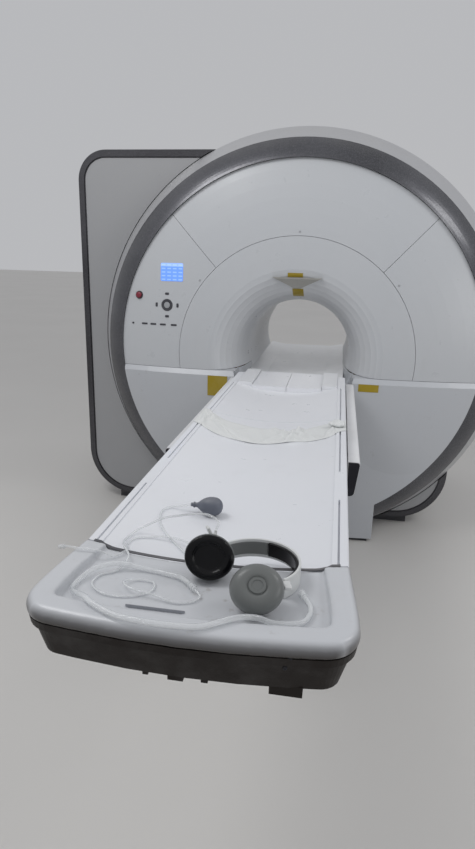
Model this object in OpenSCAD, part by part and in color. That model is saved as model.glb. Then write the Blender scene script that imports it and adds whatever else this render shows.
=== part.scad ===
// Whole-body magnetic resonance scanner with its patient table.
// Millimetres, Z up, the floor at z = 0. The bore runs along Y, the table stands on the -Y side
// and the origin lies on the floor, under the bore axis, at the front plane of the round bezel.

/* [Bore] */
// Inner diameter of the patient bore
bore_d = 600; // [560:5:640]
// Height of the bore axis above the floor
bore_z = 1055; // [1040:1:1075]
// Where the straight front end of the bore starts, behind the bezel plane
bore_front_y = 345; // [320:5:370]
// Where the straight bore ends at the back
bore_back_y = 1312; // [1290:2:1330]
// Wall of the bore liner
liner_t = 6; // [4:0.5:8]

/* [Round front] */
// Radius of the lip where the flare meets the dome
lip_r = 480; // [470:1:490]
// How far the lip stands in front of the bezel plane
dome_h = 45; // [35:1:55]
// Flatness of the dome: how slowly it falls back outside the lip
dome_k = 5600; // [5000:50:6500]
// Radius of the seam round the inner cover
seam_r = 650; // [630:1:670]
// Angle of the two upper seams from the vertical
seam_angle = 43; // [38:1:48]
// Height of the level seam above the lower covers
seam_z = 970; // [960:1:980]
// Wall of the moulded covers
cover_t = 7; // [5:0.5:9]
// Depth of the covers' edges, behind the bezel plane
cover_back_y = 60; // [50:1:70]
// Gap left between neighbouring covers
seam_gap = 2; // [1:0.5:4]

/* [Bezel and rim] */
// Height of the bezel's centre above the bore axis
ring_rise = 39; // [30:1:45]
// Inner radius of the bezel
ring_in_r = 997; // [985:1:1005]
// Width of the bezel
ring_w = 106; // [94:1:116]
// Depth from the bezel's inner edge to its outer edge
ring_depth = 71; // [60:1:80]
// How far the bezel bulges beyond a straight slope
ring_bulge = 11; // [6:1:15]
// Width of the white rim outside the bezel
rim_w = 84; // [72:1:94]
// Depth of the rim's straight wall behind the body panel
rim_wall_depth = 170; // [120:5:200]

/* [Lower covers] */
// Half the width of the pedestal at the floor
pedestal_half_w = 507; // [490:1:520]
// Front of the pedestal, before the bezel plane
pedestal_front_y = -61; // [-64:0.5:-58]
// Half the width of the pedestal's flat front
pedestal_flat_half_w = 350; // [300:5:400]
// How far the flanks fall back for each metre of width
flank_fall = 100; // [60:5:140]
// Gap under the lower covers
floor_gap = 20; // [15:1:30]
// How far the lower covers stand before the upper ones
ledge = 18; // [12:1:22]
// Height of the sloping top of the ledge
ledge_h = 28; // [20:1:34]
// Radius of the opening in the lower covers, below the table
lower_hole_r = 345; // [335:1:355]

/* [Body] */
// Left side of the body
body_left_x = -1340; // [-1380:5:-1310]
// Right side of the body
body_right_x = 945; // [930:1:970]
// Top of the body
body_top_z = 2167; // [2140:1:2190]
// Underside of the body
body_bottom_z = 40; // [35:1:60]
// Front of the body panel
body_front_y = 250; // [240:1:260]
// Where the side cover ends and the rear cover starts
body_back_y = 1200; // [1150:5:1220]
// Back of the rear cover
rear_y = 1392; // [1380:1:1410]
// Radius of the upper left corner
top_corner_r = 170; // [140:5:200]
// Radius of the upper right corner, which stays behind the rim
top_right_r = 700; // [660:10:740]
// Radius of the two lower corners
bottom_corner_r = 300; // [240:5:320]
// Width of the satin band round the body
band_w = 46; // [36:1:56]
// How far the band stands before the panel
band_proud = 8; // [4:1:12]
// Depth of the band along the side
band_depth = 62; // [50:1:80]

/* [Controls] */
// Width of the display
display_w = 131; // [120:1:140]
// Height of the display
display_h = 97; // [90:1:105]
// Centre of the display, from the bore axis
display_x = -695; // [-705:1:-685]
// Height of the display's centre
display_z = 1500; // [1490:1:1510]
// Place of the stop button across
stop_x = -890; // [-895:1:-880]
// Height of the stop button
stop_z = 1370; // [1360:1:1380]
// Diameter of the stop button's cap
stop_d = 34; // [30:1:38]
// Centre of the direction keys, across
nav_x = -722; // [-730:1:-715]
// Centre of the direction keys, height
nav_z = 1321; // [1315:1:1327]
// Diameter of the ring round the centre key
nav_ring_d = 66; // [60:1:70]
// Distance of the four outer keys from the centre
nav_reach = 62; // [58:1:66]
// Height of the row of small keys
row_z = 1212; // [1205:1:1218]
// Travel of a key
key_travel = 1.5; // [1:0.1:2]
// Travel of the stop button
stop_travel = 5; // [4:0.5:6]
// Gap round a key
key_gap = 0.4; // [0.3:0.05:0.6]

/* [Table] */
// Width of the table top
table_w = 572; // [560:1:574]
// Height of the table top's edges
table_z = 991; // [988:0.5:994]
// Head end of the table top
table_head_y = -70; // [-80:1:-66]
// Foot edge of the board, beside the tray
board_foot_y = -2168; // [-2180:1:-2150]
// Foot end of the tray, at its middle
tray_foot_y = -2476; // [-2490:1:-2460]
// Half the width of the tray
tray_half_w = 304; // [300:1:308]
// How far the tray's rim stands above the table top's edges
tray_rise = 13; // [8:1:18]
// Depth of the tray below its rim
tray_recess = 22; // [16:1:26]
// Height of the fascia below the tray's lip
fascia_h = 62; // [50:1:66]
// Depth of the hollow along the table
dish = 28; // [22:1:32]
// Width of the hollow
dish_w = 500; // [480:1:505]
// Height of the table top from its edge to its flat underside
board_h = 61; // [58:1:64]
// Width of the flat underside
board_flat_w = 350; // [330:1:370]
// How far the table top travels into the bore
table_travel = 1500; // [1400:10:1520]
// Gap between the table top and its frame
slide_gap = 8; // [6:0.5:10]

/* [Table support] */
// Outer width of the support frame
frame_w = 668; // [650:1:674]
// Height of the top of the support frame's sides
frame_top_z = 951; // [946:0.5:952]
// Height of the support frame's side
frame_h = 121; // [114:1:124]
// How much narrower each side of the frame is at its foot
frame_taper = 11; // [6:1:14]
// Gantry end of the support frame
frame_head_y = -132; // [-140:1:-120]
// Foot end of the support frame
frame_foot_y = -1395; // [-1420:1:-1380]
// Sheet of the support frame's floor
pan_t = 8; // [6:0.5:10]
// Travel of the lift
lift_travel = 380; // [340:5:384]
// Width of the lift column's outer stage
column_w = 400; // [380:5:420]
// Length of the lift column's outer stage
column_l = 520; // [480:5:560]
// Middle of the lift column along the table
column_y = -640; // [-660:5:-600]
// Wall of each column stage
column_t = 8; // [6:0.5:9]
// Sliding gap between two column stages
column_gap = 0.8; // [0.5:0.1:0.9]

/* [Magnet] */
// Outer radius of the magnet's vessel
vessel_r = 880; // [860:5:890]
// Radius of the vessel's warm bore
warm_r = 460; // [450:1:470]
// Front face of the vessel
vessel_front_y = 300; // [290:1:310]
// Back face of the vessel
vessel_back_y = 1290; // [1270:5:1300]

/* [Hidden] */
$fn = 96;
eps = 0.01;
fit = 0.3;

white = [0.88, 0.89, 0.90];
shade = [0.72, 0.73, 0.74];
satin = [0.42, 0.42, 0.44];
dark = [0.16, 0.15, 0.15];
amber = [0.80, 0.58, 0.08];
clear = [0.80, 0.82, 0.84];
steel = [0.62, 0.64, 0.66];

bore_r = bore_d / 2;
flare_w = lip_r - bore_r;
flare_l = bore_front_y + dome_h;
ring_out_r = ring_in_r + ring_w;
rim_r = ring_out_r + rim_w;
dome_step = 72;
dome_n = 8;
rim_back_y = body_front_y + rim_wall_depth;
rim_gap = 4;
far = 4000;

function rel_r(x, z) = sqrt(x * x + (z - bore_z) * (z - bore_z));
function dome(r) = -dome_h + (r > lip_r ? (r - lip_r) * (r - lip_r) / dome_k : 0);
function dome_tilt(r) = atan(r > lip_r ? 2 * (r - lip_r) / dome_k : 0);
function flare(t) = [bore_r + flare_w * (1 - cos(t)), bore_front_y - flare_l * sin(t)];

function arc(c, r, a0, a1, n) = [for (k = [0 : n]) let (a = a0 + (a1 - a0) * k / n)
    [c[0] + r * cos(a), c[1] + r * sin(a)]];

// Turn a profile of radius and depth round the bore axis, or round a higher axis.
module about_bore(rise = 0)
    translate([0, 0, bore_z + rise]) rotate([-90, 0, 0]) rotate_extrude($fn = 180) children();

module round_bar(r, y0, y1, rise = 0)
    translate([0, y0, bore_z + rise]) rotate([-90, 0, 0]) cylinder(r = r, h = y1 - y0, $fn = 180);

module tube(r_in, r_out, y0, y1, rise = 0)
    difference() {
        round_bar(r_out, y0, y1, rise);
        round_bar(r_in, y0 - 1, y1 + 1, rise);
    }

// A flat outline in X and Z, given depth from y0 to y1.
module upright(y0, y1)
    translate([0, y1, 0]) rotate([90, 0, 0]) linear_extrude(y1 - y0) children();

// Place a piece on the domed front, its own Z pointing out of the cover.
module on_dome(x, z) {
    r = rel_r(x, z);
    turn = atan2(z - bore_z, x);
    translate([x, dome(r), z]) rotate([0, -turn, 0]) rotate([0, 0, dome_tilt(r)])
        rotate([0, turn, 0]) rotate([90, 0, 0]) children();
}

module rounded_plate(w, h, r, t)
    linear_extrude(t) union() {
        square([w - 2 * r, h], center = true);
        square([w, h - 2 * r], center = true);
        for (sx = [-1, 1], sy = [-1, 1])
            translate([sx * (w / 2 - r), sy * (h / 2 - r)]) circle(r = r, $fn = 32);
    }

// Everything behind the front skin, moved back by the given depth.
module front_solid(back = 0)
    about_bore() polygon(concat(
        [for (t = [0 : 10 : 90]) flare(t) + [0, back]],
        [for (k = [1 : dome_n]) let (r = lip_r + k * dome_step) [r, dome(r) + back]],
        [[lip_r + dome_n * dome_step, bore_front_y], [bore_r, bore_front_y + 1]]));

module above_seam(gap)
    translate([-far / 2, -far / 2, seam_z + gap]) cube([far, far, far]);

module below_seam(gap)
    translate([-far / 2, -far / 2, seam_z - gap - far]) cube([far, far, far]);

// The sector between the two upper seams, or the part left or right of it.
module sector(side, gap) {
    a = 90 - seam_angle;
    if (side == 0)
        translate([0, 0, bore_z + gap / sin(seam_angle)]) upright(-far / 2, far / 2)
            polygon([[0, 0], [far * cos(a), far * sin(a)], [-far * cos(a), far * sin(a)]]);
    else
        mirror([side < 0 ? 1 : 0, 0, 0]) translate([0, 0, bore_z - gap / sin(seam_angle)])
            upright(-far / 2, far / 2)
                polygon([[0, 0], [far * cos(a), far * sin(a)], [far, far * sin(a)], [far, -far / 2],
                    [0, -far / 2]]);
}

// One moulded upper cover: a skin with turned-back edges.
module upper_zone(side, inset) {
    half = seam_gap / 2 + inset;
    intersection() {
        difference() {
            round_bar(ring_in_r - half, -far / 8, cover_back_y, ring_rise);
            round_bar(seam_r + half, -far / 8, cover_back_y + 1);
        }
        above_seam(half);
        sector(side, half);
    }
}

module upper_cover(side)
    difference() {
        intersection() {
            front_solid();
            upper_zone(side, 0);
        }
        intersection() {
            front_solid(cover_t);
            upper_zone(side, cover_t);
            round_bar(far / 4, -far / 8, cover_back_y + 1);
        }
        translate([0, cover_back_y - eps, 0]) intersection() {
            round_bar(far / 4, 0, 1);
            upper_zone(side, cover_t);
        }
        screw_holes();
    }

module inner_cover() color(white)
    difference() {
        intersection() {
            difference() {
                front_solid();
                front_solid_inside();
            }
            above_seam(seam_gap / 2);
            union() {
                round_bar(seam_r - seam_gap / 2, -far / 8, cover_back_y);
                round_bar(warm_r - 20, -far / 8, bore_front_y);
            }
        }
        laser_pocket();
    }

module front_solid_inside()
    about_bore() polygon(concat(
        [for (t = [0 : 10 : 90]) flare(t) + [cover_t * cos(t), cover_t * sin(t)] + [0, t == 0 ? 1 : 0]],
        [for (k = [1 : 2]) let (r = lip_r + k * dome_step) [r, dome(r) + cover_t]],
        [[seam_r - seam_gap / 2 - cover_t, dome(seam_r) + cover_t],
         [seam_r - seam_gap / 2 - cover_t, bore_front_y + 2], [bore_r + cover_t, bore_front_y + 2]]));

module upper_cover_left() color(white)
    difference() {
        upper_cover(-1);
        control_holes();
    }

module upper_cover_top() color(white) upper_cover(0);

module upper_cover_right() color(white) upper_cover(1);

// The lower front: the dome carried on below the seam, with the flat pedestal and its flanks.
flank_x = ring_in_r;
flank_y = pedestal_front_y + (flank_x - pedestal_flat_half_w) * flank_fall / 1000;
lower_lip_y = -dome_h - ledge;

module lower_front(back) {
    about_bore() polygon(concat(
        [[0, lower_lip_y + back], [lip_r, lower_lip_y + back]],
        [for (k = [1 : dome_n]) let (r = lip_r + k * dome_step) [r, dome(r) - ledge + back]],
        [[lip_r + dome_n * dome_step, cover_back_y], [0, cover_back_y]]));
    linear_extrude(seam_z) polygon([[-pedestal_flat_half_w, pedestal_front_y + back],
        [pedestal_flat_half_w, pedestal_front_y + back], [flank_x, flank_y + back],
        [flank_x, cover_back_y], [-flank_x, cover_back_y], [-flank_x, flank_y + back]]);
}

module lower_zone(inset) {
    half = seam_gap / 2 + inset;
    difference() {
        union() {
            intersection() {
                round_bar(ring_in_r - half, -far / 8, cover_back_y, ring_rise);
                translate([0, -far / 2, floor_gap + inset]) cube([far, far, far]);
            }
            translate([0, -far / 8, floor_gap + inset])
                cube([pedestal_half_w - inset, far / 8 + cover_back_y, bore_z / 4]);
        }
        round_bar(lower_hole_r + inset, -far / 8, cover_back_y + 1);
        translate([-far / 2, -far / 2, seam_z - half]) cube([far, far, far]);
        translate([-far, -far / 2, -1]) cube([far + half, far, far]);
    }
}

// The ledge slopes back along its top edge, in short straight lengths.
ledge_step = 120;
module ledge_slope(drop = 0) {
    xs = concat([0], [for (k = [0 : 5]) lip_r + k * ledge_step]);
    for (k = [0 : len(xs) - 2]) {
        y0 = dome(rel_r(xs[k], seam_z)) - ledge;
        y1 = dome(rel_r(xs[k + 1], seam_z)) - ledge;
        run = xs[k + 1] - xs[k];
        translate([xs[k], y0, seam_z]) rotate([0, 0, atan2(y1 - y0, run)]) rotate([90, 0, 90])
            linear_extrude(norm([run, y1 - y0]) + 0.2)
                polygon([[-40, -ledge_h - drop], [0, -ledge_h - drop], [ledge, -drop], [ledge, 5],
                    [-40, 5]]);
    }
}

module lower_cover()
    difference() {
        intersection() {
            lower_front(0);
            lower_zone(0);
        }
        difference() {
            intersection() {
                lower_front(cover_t);
                lower_zone(cover_t);
            }
            ledge_slope(cover_t * norm([ledge, ledge_h]) / ledge);
        }
        intersection() {
            lower_zone(cover_t);
            translate([0, cover_back_y - 1, 0]) cube([far, 3, far]);
        }
        ledge_slope();
    }

module lower_cover_right() color(shade) lower_cover();

module lower_cover_left() color(shade) mirror([1, 0, 0]) lower_cover();

// Below the seam the flare is narrower and meets the opening in the lower covers.
module lower_funnel() color(shade) {
    w = lower_hole_r - fit - liner_t - bore_r;
    intersection() {
        about_bore() polygon(concat(
            [for (t = [0 : 15 : 90]) [bore_r + w * (1 - cos(t)), bore_front_y - 255 * sin(t)]],
            [[bore_r + w, cover_back_y - 90], [bore_r + w + liner_t, cover_back_y - 90]],
            [for (t = [90 : -15 : 0]) [bore_r + w * (1 - cos(t)) + liner_t, bore_front_y - 255 * sin(t)]]));
        below_seam(seam_gap / 2);
    }
}

// The satin bezel: a bulging, hollow ring moulding, cut off upright at the pedestal.
bezel_lead = 6;
module bezel_section(back)
    polygon(concat(
        [for (s = [0 : 0.125 : 1]) [ring_in_r + s * (ring_out_r - ring_in_r),
            back - bezel_lead + (ring_depth + bezel_lead) * s - ring_bulge * 4 * s * (1 - s)]],
        [[ring_out_r, ring_depth + back + 8], [ring_out_r - 2 * cover_t, ring_depth + back + 8],
         [ring_in_r + cover_t, cover_back_y + back], [ring_in_r, cover_back_y + back]]));

module ring_bezel() color(satin)
    difference() {
        about_bore(ring_rise) difference() {
            bezel_section(0);
            intersection() {
                bezel_section(cover_t);
                translate([ring_in_r + cover_t, -ring_depth])
                    square([ring_out_r - ring_in_r - 2 * cover_t, 4 * ring_depth]);
            }
        }
        translate([-pedestal_half_w - seam_gap, -far / 2, -far / 2])
            cube([2 * (pedestal_half_w + seam_gap), far, far / 2 + bore_z / 2]);
    }

module front_rim() color(white)
    difference() {
        about_bore(ring_rise) polygon([[ring_out_r + fit, ring_depth], [rim_r, body_front_y],
            [rim_r, rim_back_y], [vessel_r + 90, rim_back_y], [vessel_r + 90, rim_back_y - cover_t],
            [rim_r - cover_t, rim_back_y - cover_t], [rim_r - cover_t, body_front_y + 3],
            [ring_out_r + fit, ring_depth + 2 * cover_t]]);
        translate([-far / 2, -far / 2, body_bottom_z - far]) cube([far, far, far]);
        translate([-pedestal_half_w - seam_gap, -far / 2, -far / 2])
            cube([2 * (pedestal_half_w + seam_gap), far / 2 + body_front_y, far / 2 + bore_z / 2]);
    }

// The body's outline: large lower corners, and an upper right one that hides behind the rim.
module outline(inset) {
    x0 = body_left_x + inset;
    x1 = body_right_x - inset;
    z0 = body_bottom_z + inset;
    z1 = body_top_z - inset;
    rl = top_corner_r - inset;
    rr = top_right_r - inset;
    rb = bottom_corner_r - inset;
    polygon([[x0 + rb, z0], [x1 - rb, z0], [x1, z0 + rb], [x1, z1 - rr], [x1 - rr, z1],
        [x0 + rl, z1], [x0, z1 - rl], [x0, z0 + rb]]);
    for (x = [x0 + rb, x1 - rb]) translate([x, z0 + rb]) circle(r = rb, $fn = 128);
    translate([x0 + rl, z1 - rl]) circle(r = rl, $fn = 128);
    translate([x1 - rr, z1 - rr]) circle(r = rr, $fn = 128);
}

module drum_clearance()
    round_bar(rim_r + rim_gap, -far / 8, rim_back_y + rim_gap, ring_rise);

module body_panel() color(white)
    difference() {
        upright(body_front_y, body_front_y + cover_t) outline(band_w + fit);
        drum_clearance();
    }

module body_band() color(satin)
    difference() {
        union() {
            upright(body_front_y - band_proud, body_front_y - band_proud + 7) difference() {
                outline(14);
                outline(band_w - 6);
            }
            upright(body_front_y - band_proud + 7 - eps, body_front_y - band_proud + 16) difference() {
                outline(5);
                outline(band_w);
            }
            upright(body_front_y - band_proud + 16 - eps, body_front_y + band_depth) difference() {
                outline(0);
                outline(band_w);
            }
        }
        drum_clearance();
    }

module body_shell() color(white)
    difference() {
        upright(body_front_y + band_depth + fit, body_back_y) difference() {
            outline(0);
            outline(cover_t);
        }
        drum_clearance();
        translate([body_left_x + bottom_corner_r + 40, 0, 0])
            cube([body_right_x - body_left_x - 2 * bottom_corner_r - 80, far, body_bottom_z + 2 * cover_t]);
    }

rear_hole_r = 410;

module rear_cover() color(white)
    difference() {
        union() {
            upright(body_back_y + fit, rear_y - 60) outline(0);
            upright(rear_y - 60 - eps, rear_y - 25) outline(18);
            upright(rear_y - 25 - eps, rear_y) outline(55);
        }
        upright(body_back_y - 1, rear_y - 60 - cover_t) outline(cover_t);
        upright(body_back_y - 1, rear_y - cover_t) outline(55 + cover_t);
        round_bar(rear_hole_r, 0, far);
    }

module rear_funnel() color(white) {
    w = rear_hole_r - fit - liner_t - bore_r;
    l = rear_y + 6 - bore_back_y;
    about_bore() polygon(concat(
        [for (t = [0 : 15 : 90]) [bore_r + w * (1 - cos(t)), bore_back_y + l * sin(t)]],
        [[bore_r + w + liner_t, bore_back_y + l]],
        [for (t = [75 : -15 : 0]) [bore_r + w * (1 - cos(t)) + liner_t, bore_back_y + l * sin(t) - 3]]));
}

module bore_liner() color(white)
    tube(bore_r, bore_r + liner_t, bore_front_y + fit, bore_back_y - 3 - fit);

// The bridge carries the table top through the bore.
board_bottom_z = table_z - board_h;
bridge_z = board_bottom_z - 6;
bridge_rib_x = 120;
board_slope_z = table_z - 33;

bridge_t = 10;
bridge_rib_t = 10;
bridge_over = 60;
bridge_lead = 250;

// Half of the bridge's section: the plate rises towards the wall, the rib stands under it.
function bridge_half(s) = [[s * board_flat_w / 2, bridge_z], [s * (dish_w / 2 + 8), bridge_z + 14],
    [s * bore_r, bridge_z + 22], [s * bore_r, bridge_z + 22 - bridge_t],
    [s * (dish_w / 2 + 8), bridge_z + 14 - bridge_t], [s * board_flat_w / 2, bridge_z - bridge_t],
    [s * (bridge_rib_x + bridge_rib_t / 2), bridge_z - bridge_t],
    [s * (bridge_rib_x + bridge_rib_t / 2), bridge_z - bore_r],
    [s * (bridge_rib_x - bridge_rib_t / 2), bridge_z - bore_r],
    [s * (bridge_rib_x - bridge_rib_t / 2), bridge_z - bridge_t]];

module bore_bridge() color(white)
    intersection() {
        upright(bore_front_y - bridge_lead, rear_y + bridge_over)
            polygon(concat(bridge_half(1), [for (k = [9 : -1 : 0]) bridge_half(-1)[k]]));
        round_bar(bore_r - fit, -far / 8, far);
    }

// Magnet and coils, centred on one another.
module magnet_vessel() color(steel)
    difference() {
        union() {
            round_bar(vessel_r, vessel_front_y, vessel_back_y);
            for (y = [vessel_front_y + 40, vessel_back_y - 90]) round_bar(vessel_r + 14, y, y + 50);
        }
        round_bar(warm_r, 0, far);
    }

turret_y = 760;
turret_r = 120;
turret_rise = 140;
turret_h = vessel_r + turret_rise;
pump_h = 90;

module cold_head_turret() color(steel)
    difference() {
        translate([0, turret_y, bore_z]) union() {
            cylinder(r = turret_r, h = turret_h);
            cylinder(r = turret_r + 25, h = turret_h - 60);
            translate([-turret_r / 2, 0, turret_h - 20]) cylinder(r = 42, h = pump_h);
            translate([turret_r / 2, 0, turret_h - 20]) cylinder(r = 30, h = pump_h - 20);
        }
        round_bar(vessel_r + fit, 0, far);
    }

module gradient_coil() color([0.72, 0.52, 0.34])
    tube(warm_r - 114, warm_r - fit, vessel_front_y + 60, vessel_back_y - 60);

module body_coil() color([0.80, 0.78, 0.70]) {
    inner = bore_r + liner_t + fit;
    tube(inner, inner + 22, bore_front_y + 30, bore_back_y - 60);
    for (y = [bore_front_y + 30, bore_back_y - 80]) tube(inner, warm_r - 114 - fit, y, y + 20);
}

// The plate under the gantry has four holes for floor anchors, and four feet that carry the magnet.
foot_x = 380;
anchor_x = 540;
anchor_ys = [450, 1100];
anchor_d = 18;
foot_plate_w = 460;
foot_plate_reach = 40;

module base_frame() color(dark)
    difference() {
        union() {
            for (x = [-foot_x, foot_x], y = [vessel_front_y + 120, vessel_back_y - 260])
                translate([x - 90, y, 1]) cube([180, 160, body_bottom_z + 400]);
            translate([body_left_x + 190, body_front_y + 40, 0])
                cube([body_right_x - body_left_x - 400, rear_y - body_front_y - 110, body_bottom_z - fit]);
            translate([-pedestal_half_w + 25, pedestal_front_y + 25, 0])
                cube([2 * pedestal_half_w - 50, body_front_y + 40 - pedestal_front_y, floor_gap - fit]);
            translate([-foot_plate_w / 2, column_y - column_l / 2 - foot_plate_reach, 0])
                cube([foot_plate_w, pedestal_front_y + 100 - column_y + column_l / 2, floor_gap - fit]);
        }
        for (x = [-anchor_x, anchor_x], y = anchor_ys)
            translate([x, y, -1]) cylinder(d = anchor_d, h = body_bottom_z + 2, $fn = 48);
        round_bar(vessel_r + fit, 0, far);
    }

// A drum behind the front covers carries them from the magnet's face.
frame_tube_r = ring_in_r - 12;
module cover_frame() color(steel) {
    difference() {
        union() {
            tube(frame_tube_r - 25, frame_tube_r, cover_back_y + fit, vessel_front_y - fit, ring_rise);
            tube(frame_tube_r - 25, ring_in_r + 20, cover_back_y + fit, cover_back_y + 16, ring_rise);
        }
        translate([-far / 2, -far / 2, -far]) cube([far, far, far + floor_gap + fit]);
    }
    difference() {
        round_bar(frame_tube_r - 20, vessel_front_y - 20, vessel_front_y - fit, ring_rise);
        round_bar(700, 0, far);
    }
    for (a = [30 : 60 : 330])
        translate([0, 0, bore_z]) rotate([0, a, 0]) translate([seam_r - 20, cover_back_y + fit, -20])
            cube([80, vessel_front_y - cover_back_y - 19, 40]);
}

laser_z = 1492;
laser_half_w = 133;
laser_drop = 56;
laser_front_y = -62;
laser_tip_w = 36;

module laser_outline(grow)
    polygon([[-laser_half_w - grow, laser_z + grow / 2], [laser_half_w + grow, laser_z + grow / 2],
        [laser_half_w * 0.45, laser_z - laser_drop * 0.62 - grow],
        [laser_tip_w / 2, laser_z - laser_drop - grow], [-laser_tip_w / 2, laser_z - laser_drop - grow],
        [-laser_half_w * 0.45, laser_z - laser_drop * 0.62 - grow]]);

module laser_pocket() upright(laser_front_y, 40) laser_outline(fit);

// The positioning light's hood: flat on top, with a face that slopes back to a low point.
module laser_housing() color(shade)
    intersection() {
        upright(laser_front_y - 1, 0) laser_outline(0);
        translate([-far / 2, 0, 0]) rotate([90, 0, 90]) linear_extrude(far)
            polygon([[laser_front_y, laser_z + 10], [laser_front_y, laser_z - 6],
                [-24, laser_z - laser_drop - 10], [0, laser_z - laser_drop - 10], [0, laser_z + 10]]);
    }

// Plain amber plates that follow the surface below them.
plate_t = 1.2;
plate_lift = 0.2;
module plate_on_front(x0, x1, z0, z1)
    intersection() {
        difference() {
            front_solid(-plate_t - plate_lift);
            front_solid(-plate_lift);
        }
        upright(-far / 8, 200) translate([x0, z0]) square([x1 - x0, z1 - z0]);
    }

module plate_on_lower(x0, x1, z0, z1)
    intersection() {
        difference() {
            lower_front(-plate_t - plate_lift);
            lower_front(-plate_lift);
        }
        upright(-far / 8, 40) translate([x0, z0]) square([x1 - x0, z1 - z0]);
    }

// Left, right, bottom and top of each plate: from the hood's top, and from the ledge.
hood_plates = [[-53, 28, 2, 24], [-30, 30, -106, -60]];
ledge_plates = [[-478, -365, -116, -1], [362, 470, -42, -1]];

module marker_plates() color(amber) {
    for (p = hood_plates) plate_on_front(p[0], p[1], laser_z + p[2], laser_z + p[3]);
    for (p = ledge_plates) plate_on_lower(p[0], p[1], seam_z - ledge_h + p[2], seam_z - ledge_h + p[3]);
}

// Cap screws on the round seam.
screw_angles = [38, 90, 142.7];
screw_d = 11;
screw_in = 20;

module on_screws()
    for (a = screw_angles)
        on_dome((seam_r + screw_in) * cos(a), bore_z + (seam_r + screw_in) * sin(a)) children();

module screw_holes()
    on_screws() translate([0, 0, -40]) cylinder(d = screw_d + 2 * fit, h = 60, $fn = 32);

module cover_screws() color(steel)
    on_screws() difference() {
        translate([0, 0, -10]) cylinder(d = screw_d, h = 10.5, $fn = 32);
        translate([0, 0, -1.5]) cylinder(d = 5, h = 5, $fn = 6);
    }

// Controls in the upper left cover.
key_w = 22;
key_h = 12;
row_h = 9;
key_deep = 8;
key_proud = key_travel + 0.5;
row_xs = [-930, -858, -805, -747, -682];
row_ws = [12, 34, 34, 34, 34];

module control_holes() {
    on_dome(display_x, display_z) translate([0, 0, -30])
        rounded_plate(display_w + 2 * fit, display_h + 2 * fit, 8, 60);
    on_dome(stop_x, stop_z) translate([0, 0, -30]) cylinder(d = stop_d + 10 + 2 * fit, h = 60);
    on_dome(nav_x, nav_z) translate([0, 0, -30]) cylinder(d = nav_ring_d + 2 * fit, h = 60);
    for (a = [0 : 90 : 270]) on_nav_key(a) translate([0, 0, -30])
        rounded_plate(key_w + 2 * key_gap, key_h + 2 * key_gap, 4, 60);
    for (k = [0 : 4]) on_dome(row_xs[k], row_z) translate([0, 0, -30])
        rounded_plate(row_ws[k] + 2 * key_gap, row_h + 2 * key_gap, 3, 60);
}

module on_nav_key(a)
    on_dome(nav_x + nav_reach * cos(a), nav_z + nav_reach * sin(a)) rotate([0, 0, a + 90]) children();

module display_screen() color([0.42, 0.62, 1.0])
    on_dome(display_x, display_z) translate([0, 0, -12]) rounded_plate(display_w, display_h, 8, 12.5);

// Fixed rings: the stop button's collar, and the ring round the centre key.
module control_rings() color(dark) {
    on_dome(stop_x, stop_z) difference() {
        translate([0, 0, -20]) cylinder(d = stop_d + 10, h = 22);
        translate([0, 0, -21]) cylinder(d = stop_stem_d + 2 * fit, h = 30);
        translate([0, 0, -2]) cylinder(d = stop_d + 2 * fit, h = 10);
    }
    on_dome(nav_x, nav_z) difference() {
        translate([0, 0, -9]) cylinder(d = nav_ring_d, h = 10.5);
        translate([0, 0, -12]) cylinder(d = nav_centre_d + 2 * key_gap, h = 20);
    }
}

stop_stem_d = 18;
nav_centre_d = 34;
module stop_button() color([0.45, 0.08, 0.10])
    on_dome(stop_x, stop_z) translate([0, 0, stop_travel - 1]) rotate_extrude() polygon([[0, -24],
        [stop_stem_d / 2, -24], [stop_stem_d / 2, 0], [stop_d / 2, 0], [stop_d / 2, 6],
        [stop_d / 2 - 2, 10], [stop_d / 2 - 6, 12.5], [0, 14]]);

module nav_centre_key() color(shade)
    on_dome(nav_x, nav_z) rotate_extrude() polygon([[0, -7], [nav_centre_d / 2, -7],
        [nav_centre_d / 2, 2], [nav_centre_d / 2 - 1.5, 3.2], [0, 3.8]]);

module nav_key(a) color(dark) on_nav_key(a) translate([0, 0, -key_deep]) {
    rounded_plate(key_w, key_h, 4, key_deep + key_proud);
    translate([0, 0, key_deep + key_proud - eps]) rounded_plate(key_w - 3, key_h - 3, 3, 0.8);
}

module key_right() nav_key(0);
module key_up() nav_key(90);
module key_left() nav_key(180);
module key_down() nav_key(270);

module row_key(k) color(dark)
    on_dome(row_xs[k], row_z) translate([0, 0, -key_deep])
        rounded_plate(row_ws[k], row_h, 3, key_deep + key_proud);

module row_key_1() row_key(0);
module row_key_2() row_key(1);
module row_key_3() row_key(2);
module row_key_4() row_key(3);
module row_key_5() row_key(4);

// Lift column: three square tubes, the inner one under the support frame.
frame_bottom_z = frame_top_z - frame_h;
stage_h = frame_bottom_z - lift_travel - floor_gap - 21;
step = 2 * (column_t + column_gap);

module stage(k, z0, z1)
    translate([0, column_y, z0]) difference() {
        rounded_plate(column_w - k * step, column_l - k * step, 24, z1 - z0);
        translate([0, 0, -1]) rounded_plate(column_w - k * step - 2 * column_t,
            column_l - k * step - 2 * column_t, 24 - column_t, z1 - z0 + 2);
    }

mid_low_z = floor_gap + 5 + lift_travel / 2;
inner_low_z = floor_gap + 5 + lift_travel;

module column_outer() color(shade) stage(0, floor_gap, floor_gap + stage_h);
module column_mid() color(steel) stage(1, mid_low_z, mid_low_z + stage_h + 15);

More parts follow.
